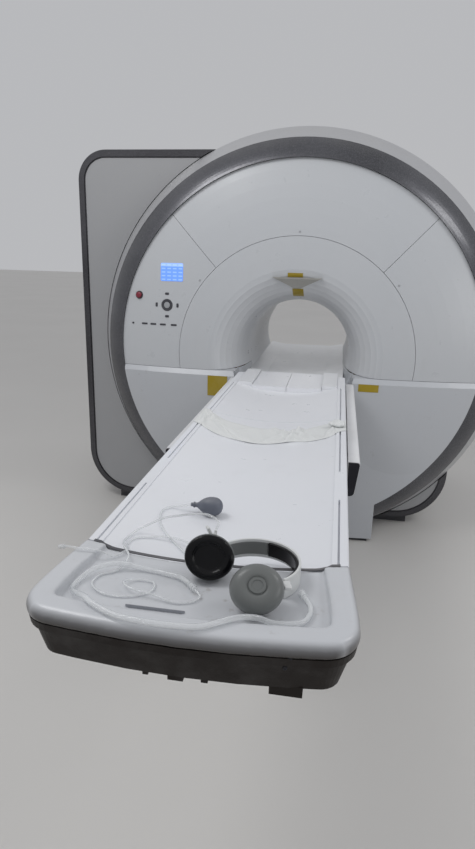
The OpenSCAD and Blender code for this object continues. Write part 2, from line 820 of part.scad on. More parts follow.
web_t = 8;
nut_r = 30;
nut_h = 30;
screw_r = 16;
module column_inner() color(steel) {
    stage(2, inner_low_z, frame_bottom_z);
    translate([0, column_y, inner_low_z]) difference() {
        union() {
            rounded_plate(column_w - 2 * step - column_t, column_l - 2 * step - column_t, 18, web_t);
            cylinder(r = nut_r + 20, h = web_t + 8);
            cylinder(r = nut_r, h = nut_h);
        }
        translate([0, 0, -1]) cylinder(r = screw_r + fit, h = nut_h + 2);
    }
}

module lift_screw() color(steel)
    translate([0, column_y, floor_gap]) cylinder(r = screw_r, h = inner_low_z + nut_h - 8 - floor_gap);

motor_r = 55;
motor_l = 190;
module lift_motor() color(dark)
    translate([0, column_y + column_l / 2 + fit, floor_gap + motor_r + 20]) rotate([-90, 0, 0]) {
        translate([0, 20, 0]) cylinder(r = motor_r, h = motor_l);
        translate([-motor_r - 5, -40, 0]) cube([2 * motor_r + 10, 115, 40]);
    }

// The support frame: two hollow sides that taper downwards, joined by a floor.
frame_in = table_w / 2 + slide_gap;
frame_side_t = 6;

function frame_side(t) = concat([[frame_in + t, frame_top_z - t]],
    arc([frame_w / 2 - 8 - t, frame_top_z - 8 - t], 8, 90, 0, 3),
    arc([frame_w / 2 - frame_taper - 16 - t, frame_bottom_z + 16 + t], 16, 0, -90, 4));
function frame_half() = concat([[frame_in, frame_bottom_z + pan_t]], frame_side(0));

module support_frame() color(white)
    upright(frame_foot_y, frame_head_y) difference() {
        polygon(concat(frame_half(), [for (k = [len(frame_half()) - 1 : -1 : 0])
            [-frame_half()[k][0], frame_half()[k][1]]]));
        for (s = [0, 1]) mirror([s, 0])
            polygon(concat([[frame_in + frame_side_t, frame_bottom_z + frame_side_t]],
                frame_side(frame_side_t)));
    }

// Dark caps close the foot ends of the frame's two sides.
cap_t = 6;
module frame_end_caps() color(dark)
    for (s = [0, 1]) mirror([s, 0, 0]) upright(frame_foot_y - cap_t, frame_foot_y - fit)
        polygon(concat([[frame_in + 1.5, frame_bottom_z + 1.5]], frame_side(1.5)));

// Glide rails carry the table top. They end where the fascia comes to rest at full travel.
rail_x = 150;
rail_w = 40;
rail_foot_y = tray_foot_y + table_travel + 126;
module glide_rails() color([0.93, 0.93, 0.90])
    for (s = [-1, 1]) upright(rail_foot_y, frame_head_y - 10) union() {
        translate([s * rail_x - rail_w / 2, frame_bottom_z + pan_t + fit]) square([rail_w, 12]);
        translate([s * rail_x - rail_w / 4, frame_bottom_z + pan_t + fit])
            square([rail_w / 2, board_bottom_z - frame_bottom_z - pan_t - 2 * fit]);
    }

// The table top's section: a shallow hollow between two flat edges, tapered to clear the bore.
dish_r = (dish_w * dish_w / 4 + dish * dish) / (2 * dish);
rail_lip = 3;
edge_x = table_w / 2;

module board_section()
    difference() {
        polygon([[-board_flat_w / 2, board_bottom_z], [board_flat_w / 2, board_bottom_z],
            [dish_w / 2 + 4, board_slope_z - 4], [edge_x - 8, table_z - 30], [edge_x, table_z - 12],
            [edge_x, table_z - 3], [edge_x - 3, table_z], [-edge_x + 3, table_z],
            [-edge_x, table_z - 3], [-edge_x, table_z - 12], [-edge_x + 8, table_z - 30],
            [-dish_w / 2 - 4, board_slope_z - 4]]);
        hollow_section(0);
    }

module hollow_section(grow)
    intersection() {
        translate([0, table_z - rail_lip + dish_r - dish]) circle(r = dish_r + grow, $fn = 360);
        translate([-dish_w / 2, table_z - board_h]) square([dish_w, board_h + 20]);
    }

foot_bow = 40;
bow_r = (edge_x * edge_x + foot_bow * foot_bow) / (2 * foot_bow);
slot_x = dish_w / 2 + 14;
slot_w = 5;
slot_deep = 9;
slot_ys = [[board_foot_y, -1820], [-1605, -430]];
top_seam_y = -1000;

module foot_arc(extra)
    translate([0, board_foot_y - foot_bow + bow_r, 0]) cylinder(r = bow_r + extra, h = far, $fn = 360);

module tabletop_board() color(white)
    difference() {
        intersection() {
            upright(board_foot_y - foot_bow - 1, table_head_y) board_section();
            foot_arc(0);
        }
        for (s = [-1, 1], y = slot_ys)
            translate([s * slot_x - slot_w / 2, y[0], table_z - slot_deep])
                cube([slot_w, y[1] - y[0], 2 * slot_deep]);
        upright(top_seam_y - 3, top_seam_y) hollow_section(1.5);
    }

// Socket blocks and two blank covers at the head end, seated in the hollow.
socket_foot_y = -420;
socket_top_z = table_z - 1;
block_x = 172;

module socket_piece(x0, x1, y0, top)
    upright(y0, table_head_y - 2) intersection() {
        translate([x0, table_z - board_h]) square([x1 - x0, top - table_z + board_h]);
        hollow_section(-fit);
    }

module socket_blocks() color(white)
    for (s = [-1, 1]) mirror([s < 0 ? 1 : 0, 0, 0])
        socket_piece(block_x, dish_w / 2 - 4, socket_foot_y, table_z + 4);

module socket_covers() color(white) {
    socket_piece(-block_x + 1.5, -1, socket_foot_y - 30, socket_top_z - 6);
    socket_piece(1, block_x - 1.5, socket_foot_y - 30, socket_top_z - 6);
}

// The tray at the foot end: flared, with rounded corners and a bowed end.
tray_head_y = board_foot_y + 20;
tray_rise_y = board_foot_y - 120;
corner_r = 70;
corner_x = tray_half_w - corner_r;
end_fall = 17;
tray_end_y = tray_foot_y + end_fall;
flare_run = tray_head_y - tray_end_y - corner_r;

function foot_fall(x) = end_fall * (x / corner_x) * (x / corner_x);
function flare_x(y) = let (s = (tray_head_y - y) / flare_run)
    edge_x + (tray_half_w - edge_x) * (3 * s * s - 2 * s * s * s);
function tray_corner(inset) = arc([corner_x, tray_end_y + corner_r], corner_r - inset, -10, -80, 7);
function tray_side(inset, head_y) = concat(
    [for (k = [0 : 6]) let (y = head_y - k / 6 * (head_y - tray_end_y - corner_r)) [flare_x(y) - inset, y]],
    tray_corner(inset), [for (x = [200, 100]) [x, tray_foot_y + inset + foot_fall(x)]]);

module tray_outline(inset, head_y = tray_head_y) {
    side = tray_side(inset, head_y);
    polygon(concat(side, [[0, tray_foot_y + inset]],
        [for (k = [len(side) - 1 : -1 : 0]) [-side[k][0], side[k][1]]]));
}

module tray_layer(z, inset, head_y = tray_head_y)
    translate([0, 0, z]) linear_extrude(0.5) tray_outline(inset, head_y);

// Under the rounded rim the tray's side ends, and the dark fascia carries the form on.
tray_side_h = 32;
lip_h = 48;
tray_top_z = table_z + tray_rise;
tray_low_z = tray_top_z - tray_side_h;
tray_floor_z = tray_top_z - tray_recess;

module foot_tray() color(white)
    difference() {
        hull() {
            tray_layer(tray_top_z - 0.5, 16, tray_rise_y);
            tray_layer(tray_top_z - 5, 5, tray_rise_y);
            tray_layer(table_z - 0.5, 3);
            tray_layer(table_z - 3, 0);
            tray_layer(tray_top_z - 24, 0.5);
            tray_layer(tray_low_z, 3);
        }
        foot_arc(0.5);
        translate([0, 0, table_z - 8]) foot_arc(3);
        translate([0, 0, tray_floor_z]) linear_extrude(far) tray_outline(52);
        translate([-120, tray_foot_y + 88, tray_floor_z - 6]) cube([112, 7, far]);
    }

fascia_in = 12;
fascia_low_in = 30;
fascia_t = 8;
lip_z = tray_top_z - lip_h;
fascia_low_z = lip_z - fascia_h;

// Small lugs hang under the fascia's foot edge: place across, width and height.
lugs = [[-65, 10, 6], [-10, 28, 9], [42, 12, 6], [183, 58, 18]];
lug_l = 26;

module foot_fascia() color(dark) {
    difference() {
        union() {
            hull() {
                tray_layer(tray_low_z - 0.5 - fit, 3.5);
                tray_layer(lip_z, 6);
            }
            hull() {
                tray_layer(lip_z, fascia_in);
                tray_layer(fascia_low_z, fascia_low_in);
            }
        }
        hull() {
            tray_layer(tray_low_z + 1, fascia_in + fascia_t);
            tray_layer(lip_z, fascia_in + fascia_t);
            tray_layer(fascia_low_z - 1, fascia_low_in + fascia_t);
        }
        translate([-far / 2, board_foot_y - foot_bow - 4, 0]) cube([far, far, far]);
    }
    for (p = lugs)
        translate([p[0] - p[1] / 2, tray_foot_y + fascia_low_in + foot_fall(p[0]) + 1,
            fascia_low_z - p[2]]) cube([p[1], lug_l, p[2] + 4]);
}

// The belt lies loose in the hollow and its folded ends rest on the table's edges.
function dish_z(x) = table_z - rail_lip - dish + dish_r - sqrt(dish_r * dish_r - x * x);
belt_t = 2.5;
belt_w = 190;
belt_sag = 120;
belt_y = -1000;
belt_end_x = edge_x + 3;
belt_end_h = 12;
belt_xs = [for (k = [-12 : 12]) k / 12 * (dish_w / 2 - 1)];

module body_strap() color(white)
    intersection() {
        upright(belt_y - belt_sag - belt_w, belt_y) polygon(concat(
            [[-belt_end_x, table_z + belt_end_h - 4], [-belt_end_x, table_z + fit],
             [-dish_w / 2 + 1, table_z + fit]],
            [for (x = belt_xs) [x, dish_z(x) + fit]],
            [[dish_w / 2 - 1, table_z + fit], [belt_end_x, table_z + fit],
             [belt_end_x, table_z + belt_end_h - 4], [belt_end_x - 4, table_z + belt_end_h],
             [edge_x - 26, table_z + belt_end_h], [dish_w / 2 + 2, table_z + fit + belt_t]],
            [for (k = [24 : -1 : 0]) [0.99 * belt_xs[k], dish_z(belt_xs[k]) + fit + belt_t]],
            [[-dish_w / 2 - 2, table_z + fit + belt_t], [-edge_x + 26, table_z + belt_end_h],
             [-belt_end_x + 4, table_z + belt_end_h]]));
        linear_extrude(far) polygon(concat(
            [for (k = [-12 : 12]) let (x = k / 12 * (belt_end_x + 1))
                [x, belt_y - belt_sag * (1 - (x / belt_end_x) * (x / belt_end_x))]],
            [for (k = [12 : -1 : -12]) let (x = k / 12 * (belt_end_x + 1))
                [x, belt_y - belt_w - belt_sag * (1 - (x / belt_end_x) * (x / belt_end_x))]]));
    }

// A rubber bulb that calls the operator, its neck to the left.
bulb_r = 24;
bulb_at = [-52, -1926, dish_z(75) + bulb_r + fit];
bulb_neck_l = 58;
module call_bulb() color([0.42, 0.44, 0.50])
    translate(bulb_at) rotate([0, -90, 0]) rotate_extrude($fn = 48) polygon(concat(
        arc([0, 0], bulb_r, -90, 20, 8), [[17, 19], [11, 31], [6.5, 42], [5, 48], [5, bulb_neck_l],
        [0, bulb_neck_l]]));

// A headset with two oval cups, seen from one cup's pad and from the other's back.
cup_a = 50;
cup_b = 45;
function oval(k) = [for (a = [0 : 12 : 348]) [k * cup_a * cos(a), k * cup_b * sin(a)]];
module oval_layer(z, k) translate([0, 0, z]) linear_extrude(0.5) polygon(oval(k));

cup_left = [10, -2262, tray_floor_z + 48];
cup_right = [116, -2345, tray_floor_z + 38.8];
module on_cup_left() translate(cup_left) rotate([66, 0, 9]) rotate([0, 0, -12]) children();
module on_cup_right() translate(cup_right) rotate([226, 0, 9]) children();

module cup() hull() {
    oval_layer(-35, 0.62);
    oval_layer(-30, 0.84);
    oval_layer(-18, 0.98);
    oval_layer(-2, 1);
}

module pad() hull() {
    oval_layer(-1.5 + fit, 0.92);
    oval_layer(5, 0.99);
    oval_layer(11, 0.94);
    oval_layer(14.5, 0.78);
}

module headset_cups() color([0.66, 0.68, 0.68]) {
    on_cup_left() {
        cup();
        translate([0, cup_b - 3, -12]) rotate([-90, 0, 0]) cylinder(r = 4, h = 12, $fn = 24);
    }
    on_cup_right() cup();
}

module headset_pads() color(dark) {
    on_cup_left() pad();
    on_cup_right() pad();
}

// The band is a wide sprung strip, with an arm down to each cup.
band_at = [98, -2240];
band_r = 92;
band_t = 5;
band_h = 42;
band_low_z = tray_floor_z + fit;
band_from = -45;
band_to = 160;

module band_arm(p, q) hull() {
    translate(p) cube([10, 8, 14], center = true);
    translate(q) cube([10, 8, 14], center = true);
}

function band_end(a) = [band_at[0] + (band_r - 3) * cos(a), band_at[1] + (band_r - 3) * sin(a),
    band_low_z + band_h - 8];

module headset_band() color(white) {
    translate([0, 0, band_low_z]) linear_extrude(band_h) polygon(concat(
        arc(band_at, band_r, band_from, band_to, 24),
        arc(band_at, band_r - band_t, band_to, band_from, 24)));
    band_arm(band_end(band_to - 4), cup_left + [-14, 44, 43]);
    band_arm(band_end(band_from + 4), cup_right + [57, 2, 8]);
}

// Clear tubes: each route is a list of places that the tube passes through.
function place(p, k) = p[max(0, min(len(p) - 1, k))];
function curve(p, k, t) =
    let (a = place(p, k - 1), b = place(p, k), c = place(p, k + 1), d = place(p, k + 2))
    b + t / 2 * (c - a + t * (2 * a - 5 * b + 4 * c - d + t * (3 * (b - c) + d - a)));
function smooth(p, n) = concat([for (k = [0 : len(p) - 2], i = [0 : n - 1]) curve(p, k, i / n)],
    [p[len(p) - 1]]);
function unit(v) = v / norm(v);

module tube_along(route, r, n) {
    pts = smooth(route, n);
    m = len(pts) - 1;
    sides = 8;
    rings = [for (k = [0 : m]) let (d = pts[min(k + 1, m)] - pts[max(k - 1, 0)],
        s = unit(cross(d, [0, 0, 1])), u = unit(cross(s, d)))
        for (j = [0 : sides - 1]) pts[k] + r * (cos(45 * j) * s + sin(45 * j) * u)];
    polyhedron(rings, concat([[for (j = [sides - 1 : -1 : 0]) j]],
        [for (k = [0 : m - 1], j = [0 : sides - 1]) let (i = (j + 1) % sides)
            [k * sides + j, k * sides + i, (k + 1) * sides + i]],
        [for (k = [0 : m - 1], j = [0 : sides - 1]) let (i = (j + 1) % sides)
            [k * sides + j, (k + 1) * sides + i, (k + 1) * sides + j]],
        [[for (j = [0 : sides - 1]) m * sides + j]]));
}

thin_tube_r = 2.5;
supply_tube_r = 5.5;

call_route = [[-110, -1926, 987], [-136, -1924, 979], [-162, -1930, 976], [-176, -1958, 978],
    [-170, -2004, 977], [-146, -2054, 973], [-104, -2104, 968], [-62, -2148, 965], [-28, -2170, 964],
    [-24, -2142, 966], [-52, -2116, 970], [-90, -2102, 976], [-126, -2096, 977], [-164, -2102, 976],
    [-192, -2122, 979], [-198, -2156, 981], [-186, -2196, 989], [-204, -2224, 988], [-222, -2232, 998],
    [-244, -2238, 1006], [-272, -2240, 1006], [-297, -2237, 1006], [-310, -2230, 1001]];

headset_route = [[16, -2228, 1074], [18, -2219, 1088], [-6, -2206, 1094], [-44, -2180, 1080],
    [-92, -2124, 1046],
    [-136, -2090, 1020], [-174, -2082, 996], [-200, -2098, 985], [-208, -2144, 985], [-194, -2190, 997],
    [-168, -2232, 995], [-176, -2274, 987], [-204, -2298, 986], [-206, -2334, 986], [-172, -2360, 986],
    [-124, -2360, 986], [-88, -2336, 986], [-92, -2304, 986], [-126, -2300, 986], [-146, -2322, 992],
    [-124, -2344, 993], [-76, -2354, 991], [-34, -2362, 986], [-4, -2354, 986], [8, -2338, 987],
    [4, -2328, 988], [-5, -2318, 989.5]];

supply_route = [[204, -2306, 989.5], [214, -2328, 988.5], [214, -2356, 988],
    [198, -2384, 988], [156, -2394, 989], [124, -2400, 1000], [90, -2424, 1011], [42, -2456, 1010],
    [0, -2464, 1010], [-54, -2464, 1010], [-112, -2456, 1010], [-160, -2434, 1011], [-186, -2414, 1011],
    [-210, -2394, 1003], [-231, -2366, 991], [-236, -2334, 988], [-216, -2294, 997],
    [-176, -2268, 998], [-120, -2262, 988],
    [-68, -2272, 988], [-46, -2279, 989], [-32, -2289, 989.5], [-22, -2299, 989.5]];

module call_tube() color(clear) tube_along(call_route, thin_tube_r, 3);
module headset_tube() color(clear) tube_along(headset_route, thin_tube_r, 3);
module supply_tube() color(clear) tube_along(supply_route, supply_tube_r, 2);

// Each tube ends in a fitting: a straight barrel with a raised collar, in line with the tube.
fitting_gap = 0.5;
function last(route) = route[len(route) - 1];

module barrel(a, b, r) {
    d = b - a;
    l = norm(d) - 2 * fitting_gap;
    translate(a + fitting_gap * unit(d)) rotate([0, acos(d[2] / norm(d)), atan2(d[1], d[0])]) {
        cylinder(r = r, h = l, $fn = 32);
        translate([0, 0, 0.36 * l]) cylinder(r = r + 1, h = 0.28 * l, $fn = 32);
    }
}

module tube_fittings() color(clear) {
    call_end = last(call_route);
    barrel(call_end, call_end + 22 * unit(call_end - place(call_route, len(call_route) - 2)), 4);
    barrel(last(headset_route), last(supply_route), 6);
    barrel(supply_route[0], supply_route[0] + 24 * unit(supply_route[0] - supply_route[1]), 6);
}

magnet_vessel();
cold_head_turret();
gradient_coil();
body_coil();
base_frame();
cover_frame();
bore_liner();
bore_bridge();
inner_cover();
upper_cover_left();
upper_cover_top();
upper_cover_right();
lower_cover_left();
lower_cover_right();
lower_funnel();
ring_bezel();
front_rim();
body_panel();
body_band();
body_shell();
rear_cover();
rear_funnel();
laser_housing();
marker_plates();
cover_screws();
display_screen();
control_rings();
stop_button();
nav_centre_key();
key_up();
key_down();
key_left();
key_right();
row_key_1();
row_key_2();
row_key_3();
row_key_4();
row_key_5();
column_outer();
column_mid();
column_inner();
lift_screw();
lift_motor();
support_frame();
frame_end_caps();
glide_rails();
tabletop_board();
socket_blocks();
socket_covers();
foot_tray();
foot_fascia();
body_strap();
call_bulb();
call_tube();
headset_band();
headset_cups();
headset_pads();
headset_tube();
supply_tube();
tube_fittings();
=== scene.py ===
"""Whole-body scanner with its patient table: finishes, fittings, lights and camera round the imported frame."""

import math

import bpy
from mathutils import Matrix, Vector


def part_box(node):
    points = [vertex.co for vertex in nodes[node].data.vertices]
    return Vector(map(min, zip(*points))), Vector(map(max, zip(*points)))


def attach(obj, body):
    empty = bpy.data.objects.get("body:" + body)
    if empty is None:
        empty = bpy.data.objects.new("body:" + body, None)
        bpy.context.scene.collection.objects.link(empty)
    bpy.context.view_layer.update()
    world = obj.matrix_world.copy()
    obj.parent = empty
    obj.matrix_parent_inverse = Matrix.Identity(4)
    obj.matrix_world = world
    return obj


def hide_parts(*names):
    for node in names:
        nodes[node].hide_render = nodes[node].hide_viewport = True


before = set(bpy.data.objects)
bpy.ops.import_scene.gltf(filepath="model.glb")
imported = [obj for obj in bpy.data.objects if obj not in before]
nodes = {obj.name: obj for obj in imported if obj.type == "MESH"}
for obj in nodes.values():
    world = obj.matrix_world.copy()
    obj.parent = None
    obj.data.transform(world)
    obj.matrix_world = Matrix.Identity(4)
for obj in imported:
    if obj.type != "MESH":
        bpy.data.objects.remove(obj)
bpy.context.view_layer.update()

# ---------------------------------------------------------------- camera

# The camera's place, its lens in mm, and its three turns in radians: to the left, down, and about its own axis.
CAMERA_AT = (0.2271, -3.2905, 1.6061)
LENS, SENSOR = 25.12, 36
TURN, DIP, LEAN = 0.1617, 0.2804, 0.0258


def place_camera():
    """The viewpoint at the foot of the table, a little to the right of it."""
    ahead = Vector((-math.sin(TURN) * math.cos(DIP), math.cos(TURN) * math.cos(DIP), -math.sin(DIP)))
    side = Vector((math.cos(TURN), math.sin(TURN), 0))
    up = side.cross(ahead)
    right = math.cos(LEAN) * side + math.sin(LEAN) * up
    above = -math.sin(LEAN) * side + math.cos(LEAN) * up
    data = bpy.data.cameras.new("table_end_view")
    data.lens, data.sensor_width = LENS, SENSOR
    data.clip_start, data.clip_end = 0.02, 200
    camera = bpy.data.objects.new("table_end_view", data)
    bpy.context.scene.collection.objects.link(camera)
    axes = Matrix((right, above, -ahead)).transposed().to_4x4()
    camera.matrix_world = Matrix.Translation(CAMERA_AT) @ axes
    bpy.context.scene.camera = camera


place_camera()

# ---------------------------------------------------------------- sizes of the table and the bore

bore_low, bore_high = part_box("bore_liner")
BORE_Z = (bore_low.z + bore_high.z) / 2
# Radii over which the flare's painted light fades in towards the bore.
FLARE_OUT_R, FLARE_IN_R = 0.47, 0.36

RAIL_LIP, TRAY_WALL = 0.003, 0.010
RIM_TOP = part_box("tabletop_board")[1].z
TRAY_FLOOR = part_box("foot_tray")[0].z + TRAY_WALL

# The hollow along the table is part of a wide circle, and so is the board's bowed end at the tray.
DISH_HALF, DISH_DROP = 0.250, 0.028
DISH_R = (DISH_HALF**2 + DISH_DROP**2) / (2 * DISH_DROP)
BOARD_HALF, BOARD_FOOT_Y, FOOT_BOW = 0.286, -2.208, 0.040
FOOT_BOW_R = (BOARD_HALF**2 + FOOT_BOW**2) / (2 * FOOT_BOW)


def table_height(x):
    """The height of the table top at a place across it: in the hollow, or on the rails beside it."""
    if abs(x) >= DISH_HALF - RAIL_LIP:
        return RIM_TOP
    return RIM_TOP - RAIL_LIP - (math.sqrt(DISH_R**2 - x * x) - (DISH_R - DISH_DROP))


# ---------------------------------------------------------------- clear tubes

THIN_TUBE, SUPPLY_TUBE = 0.005, 0.011
ROUTE_STEPS = 6

CALL_ROUTE = (
    (-0.110, -1.926, 0.987), (-0.136, -1.924, 0.979), (-0.162, -1.930, 0.976), (-0.176, -1.958, 0.978),
    (-0.170, -2.004, 0.977), (-0.146, -2.054, 0.973), (-0.104, -2.104, 0.968), (-0.062, -2.148, 0.965),
    (-0.028, -2.170, 0.964), (-0.024, -2.142, 0.966), (-0.052, -2.116, 0.970), (-0.090, -2.102, 0.976),
    (-0.126, -2.096, 0.977), (-0.164, -2.102, 0.976), (-0.192, -2.122, 0.979), (-0.198, -2.156, 0.981),
    (-0.186, -2.196, 0.989), (-0.204, -2.224, 0.988), (-0.222, -2.232, 0.998), (-0.244, -2.238, 1.006),
    (-0.272, -2.240, 1.006), (-0.297, -2.237, 1.006), (-0.310, -2.230, 1.001),
)
HEADSET_ROUTE = (
    (0.016, -2.228, 1.074), (0.018, -2.219, 1.088), (-0.006, -2.206, 1.094), (-0.044, -2.180, 1.080),
    (-0.092, -2.124, 1.046), (-0.136, -2.090, 1.020), (-0.174, -2.082, 0.996), (-0.200, -2.098, 0.985),
    (-0.208, -2.144, 0.985), (-0.194, -2.190, 0.997), (-0.168, -2.232, 0.995), (-0.176, -2.274, 0.987),
    (-0.204, -2.298, 0.986), (-0.206, -2.334, 0.986), (-0.172, -2.360, 0.986), (-0.124, -2.360, 0.986),
    (-0.088, -2.336, 0.986), (-0.092, -2.304, 0.986), (-0.126, -2.300, 0.986), (-0.146, -2.322, 0.992),
    (-0.124, -2.344, 0.993), (-0.076, -2.354, 0.991), (-0.034, -2.362, 0.986), (-0.004, -2.354, 0.986),
    (0.008, -2.338, 0.987), (0.004, -2.328, 0.988), (-0.005, -2.318, 0.9895),
)
SUPPLY_ROUTE = (
    (0.204, -2.306, 0.9895), (0.214, -2.328, 0.9885), (0.214, -2.356, 0.988), (0.198, -2.384, 0.988),
    (0.156, -2.394, 0.989), (0.124, -2.400, 1.000), (0.090, -2.424, 1.011), (0.042, -2.456, 1.010),
    (0.000, -2.464, 1.010), (-0.054, -2.464, 1.010), (-0.112, -2.456, 1.010), (-0.160, -2.434, 1.011),
    (-0.186, -2.414, 1.011), (-0.210, -2.394, 1.003), (-0.231, -2.366, 0.991), (-0.236, -2.334, 0.988),
    (-0.216, -2.294, 0.997), (-0.176, -2.268, 0.998), (-0.120, -2.262, 0.988), (-0.068, -2.272, 0.988),
    (-0.046, -2.279, 0.989), (-0.032, -2.289, 0.9895), (-0.022, -2.299, 0.9895),
)


def smoothed(route):
    """Points on one smooth curve that passes through every place of the route."""
    places = [Vector(place) for place in route]
    points = []
    for k in range(len(places) - 1):
        before, here = places[max(k - 1, 0)], places[k]
        there, after = places[k + 1], places[min(k + 2, len(places) - 1)]
        for i in range(ROUTE_STEPS):
            t = i / ROUTE_STEPS
            bend = 2 * before - 5 * here + 4 * there - after + t * (3 * (here - there) + after - before)
            points.append(here + t / 2 * (there - before + t * bend))
    return points + [places[-1]]


def lay_tube(name, node, route, diameter):
    """A round tube along its route, riding on the table top in place of its plain solid."""
    points = smoothed(route)
    curve = bpy.data.curves.new(name, "CURVE")
    curve.dimensions = "3D"
    spline = curve.splines.new("POLY")
    spline.points.add(len(points) - 1)
    for point, place in zip(spline.points, points):
        point.co = (*place, 1)
    curve.bevel_depth, curve.bevel_resolution = diameter / 2, 5
    curve.use_fill_caps = True
    tube = bpy.data.objects.new(name, curve)
    bpy.context.scene.collection.objects.link(tube)
    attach(tube, "tabletop")
    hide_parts(node)
    return tube


call_tube = lay_tube("call_bulb_tube", "call_tube", CALL_ROUTE, THIN_TUBE)
headset_tube = lay_tube("headset_air_tube", "headset_tube", HEADSET_ROUTE, THIN_TUBE)
supply_tube = lay_tube("supply_hose", "supply_tube", SUPPLY_ROUTE, SUPPLY_TUBE)

# ---------------------------------------------------------------- node tools


def add_node(tree, kind, links=(), **values):
    """A node with its sockets set, or joined where the value is another node's output."""
    made = tree.nodes.new(kind)
    for name, value in values.items():
        setattr(made, name, value)
    for socket, value in links:
        target = made.inputs[socket]
        if isinstance(value, bpy.types.NodeSocket):
            tree.links.new(value, target)
        else:
            target.default_value = value
    return made


def new_group(name, takes, gives):
    """An empty node group with named inputs and outputs."""
    group = bpy.data.node_groups.new(name, "ShaderNodeTree")
    for label, kind, value in takes:
        socket = group.interface.new_socket(label, in_out="INPUT", socket_type=kind)
        socket.default_value = value
    for label, kind in gives:
        group.interface.new_socket(label, in_out="OUTPUT", socket_type=kind)
    entry, leave = group.nodes.new("NodeGroupInput"), group.nodes.new("NodeGroupOutput")
    return group, entry.outputs, leave.inputs


FLOAT, COLOUR = "NodeSocketFloat", "NodeSocketColor"


def math_node(tree, how, a, b=0.0, clamp=False):
    """The result of one sum of two values."""
    return add_node(tree, "ShaderNodeMath", ((0, a), (1, b)), operation=how, use_clamp=clamp).outputs[0]


def ramp(tree, value, low, high, out_low=0.0, out_high=1.0):
    """A value stretched from low and high to the two outer values, and held there beyond them."""
    ends = ((0, value), (1, low), (2, high), (3, out_low), (4, out_high))
    return add_node(tree, "ShaderNodeMapRange", ends).outputs[0]


def spot_in(tree):
    """Object coordinates, which here are the frame's own, and their three parts."""
    place = tree.nodes.new("ShaderNodeTexCoord").outputs["Object"]
    return place, add_node(tree, "ShaderNodeSeparateXYZ", ((0, place),)).outputs


def facing_up(tree):
    """How far a face looks up: 1 for level, 0 for upright."""
    normal = tree.nodes.new("ShaderNodeNewGeometry").outputs["Normal"]
    return add_node(tree, "ShaderNodeSeparateXYZ", ((0, normal),)).outputs[2]


def mix_colour(tree, factor, a, b, how="MIX"):
    """Two colours mixed, or one laid over the other in the way that is named."""
    made = tree.nodes.new("ShaderNodeMix")
    made.data_type, made.blend_type = "RGBA", how
    for socket, value in ((0, factor), (6, a), (7, b)):
        if isinstance(value, bpy.types.NodeSocket):
            tree.links.new(value, made.inputs[socket])
        else:
            made.inputs[socket].default_value = value
    return made.outputs[2]


def noise(tree, where, scale, detail=2.0, rough=0.5, stretch=None):
    """Soft noise, drawn out along an axis where stretch is smaller."""
    if stretch:
        where = add_node(tree, "ShaderNodeMapping", (("Vector", where), ("Scale", stretch))).outputs[0]
    values = (("Vector", where), ("Scale", scale), ("Detail", detail), ("Roughness", rough))
    return add_node(tree, "ShaderNodeTexNoise", values).outputs[0]


# ---------------------------------------------------------------- shared effects


def make_gel_coat():
    """Moulded gel coat: slow drift in tone, faint handling marks, and the peel of a sprayed face."""
    group, takes, gives = new_group(
        "gel_coat",
        (
            ("Colour", COLOUR, (0.8, 0.8, 0.8, 1)),
            ("Drift", FLOAT, 0.04),
            ("Handling", FLOAT, 0.10),
            ("Sheen", FLOAT, 0.32),
        ),
        (("Colour", COLOUR), ("Roughness", FLOAT), ("Height", FLOAT)),
    )
    place = group.nodes.new("ShaderNodeTexCoord").outputs["Object"]
    slow = noise(group, place, 1.3, 3.0, 0.55)
    drift = math_node(group, "MULTIPLY", ramp(group, slow, 0.3, 0.7), takes["Drift"])
    darker = mix_colour(group, 1.0, takes["Colour"], (0.93, 0.945, 0.965, 1), "MULTIPLY")
    tone = mix_colour(group, math_node(group, "MULTIPLY", drift, 10.0, True), takes["Colour"], darker)
    smear = noise(group, place, 6.0, 6.0, 0.62, (1.0, 1.0, 0.35))
    marks = math_node(group, "MULTIPLY", ramp(group, smear, 0.58, 0.78), takes["Handling"])
    group.links.new(mix_colour(group, marks, tone, (0.42, 0.40, 0.37, 1)), gives["Colour"])
    haze = ramp(group, noise(group, place, 14.0, 4.0, 0.6), 0.2, 0.8, -0.05, 0.07)
    group.links.new(math_node(group, "ADD", takes["Sheen"], haze), gives["Roughness"])
    peel = math_node(group, "MULTIPLY", noise(group, place, 190.0), 0.12)
    group.links.new(math_node(group, "ADD", peel, noise(group, place, 7.0)), gives["Height"])
    return group


def make_settled_dust():
    """Fine dust on what faces up, thinner on slopes and broken by wiping."""
    group, takes, gives = new_group(
        "settled_dust",
        (
            ("Colour", COLOUR, (0.8, 0.8, 0.8, 1)),
            ("Roughness", FLOAT, 0.4),
            ("Amount", FLOAT, 0.3),
        ),
        (("Colour", COLOUR), ("Roughness", FLOAT)),
    )
    place = group.nodes.new("ShaderNodeTexCoord").outputs["Object"]
    level = ramp(group, facing_up(group), 0.55, 1.0)
    wiped = ramp(group, noise(group, place, 3.5, 5.0, 0.6), 0.35, 0.7)
    mask = math_node(group, "MULTIPLY", math_node(group, "MULTIPLY", level, wiped), takes["Amount"], True)
    group.links.new(mix_colour(group, mask, takes["Colour"], (0.52, 0.50, 0.46, 1)), gives["Colour"])
    dull = math_node(group, "MULTIPLY", mask, 0.35)
    group.links.new(math_node(group, "ADD", takes["Roughness"], dull), gives["Roughness"])
    return group


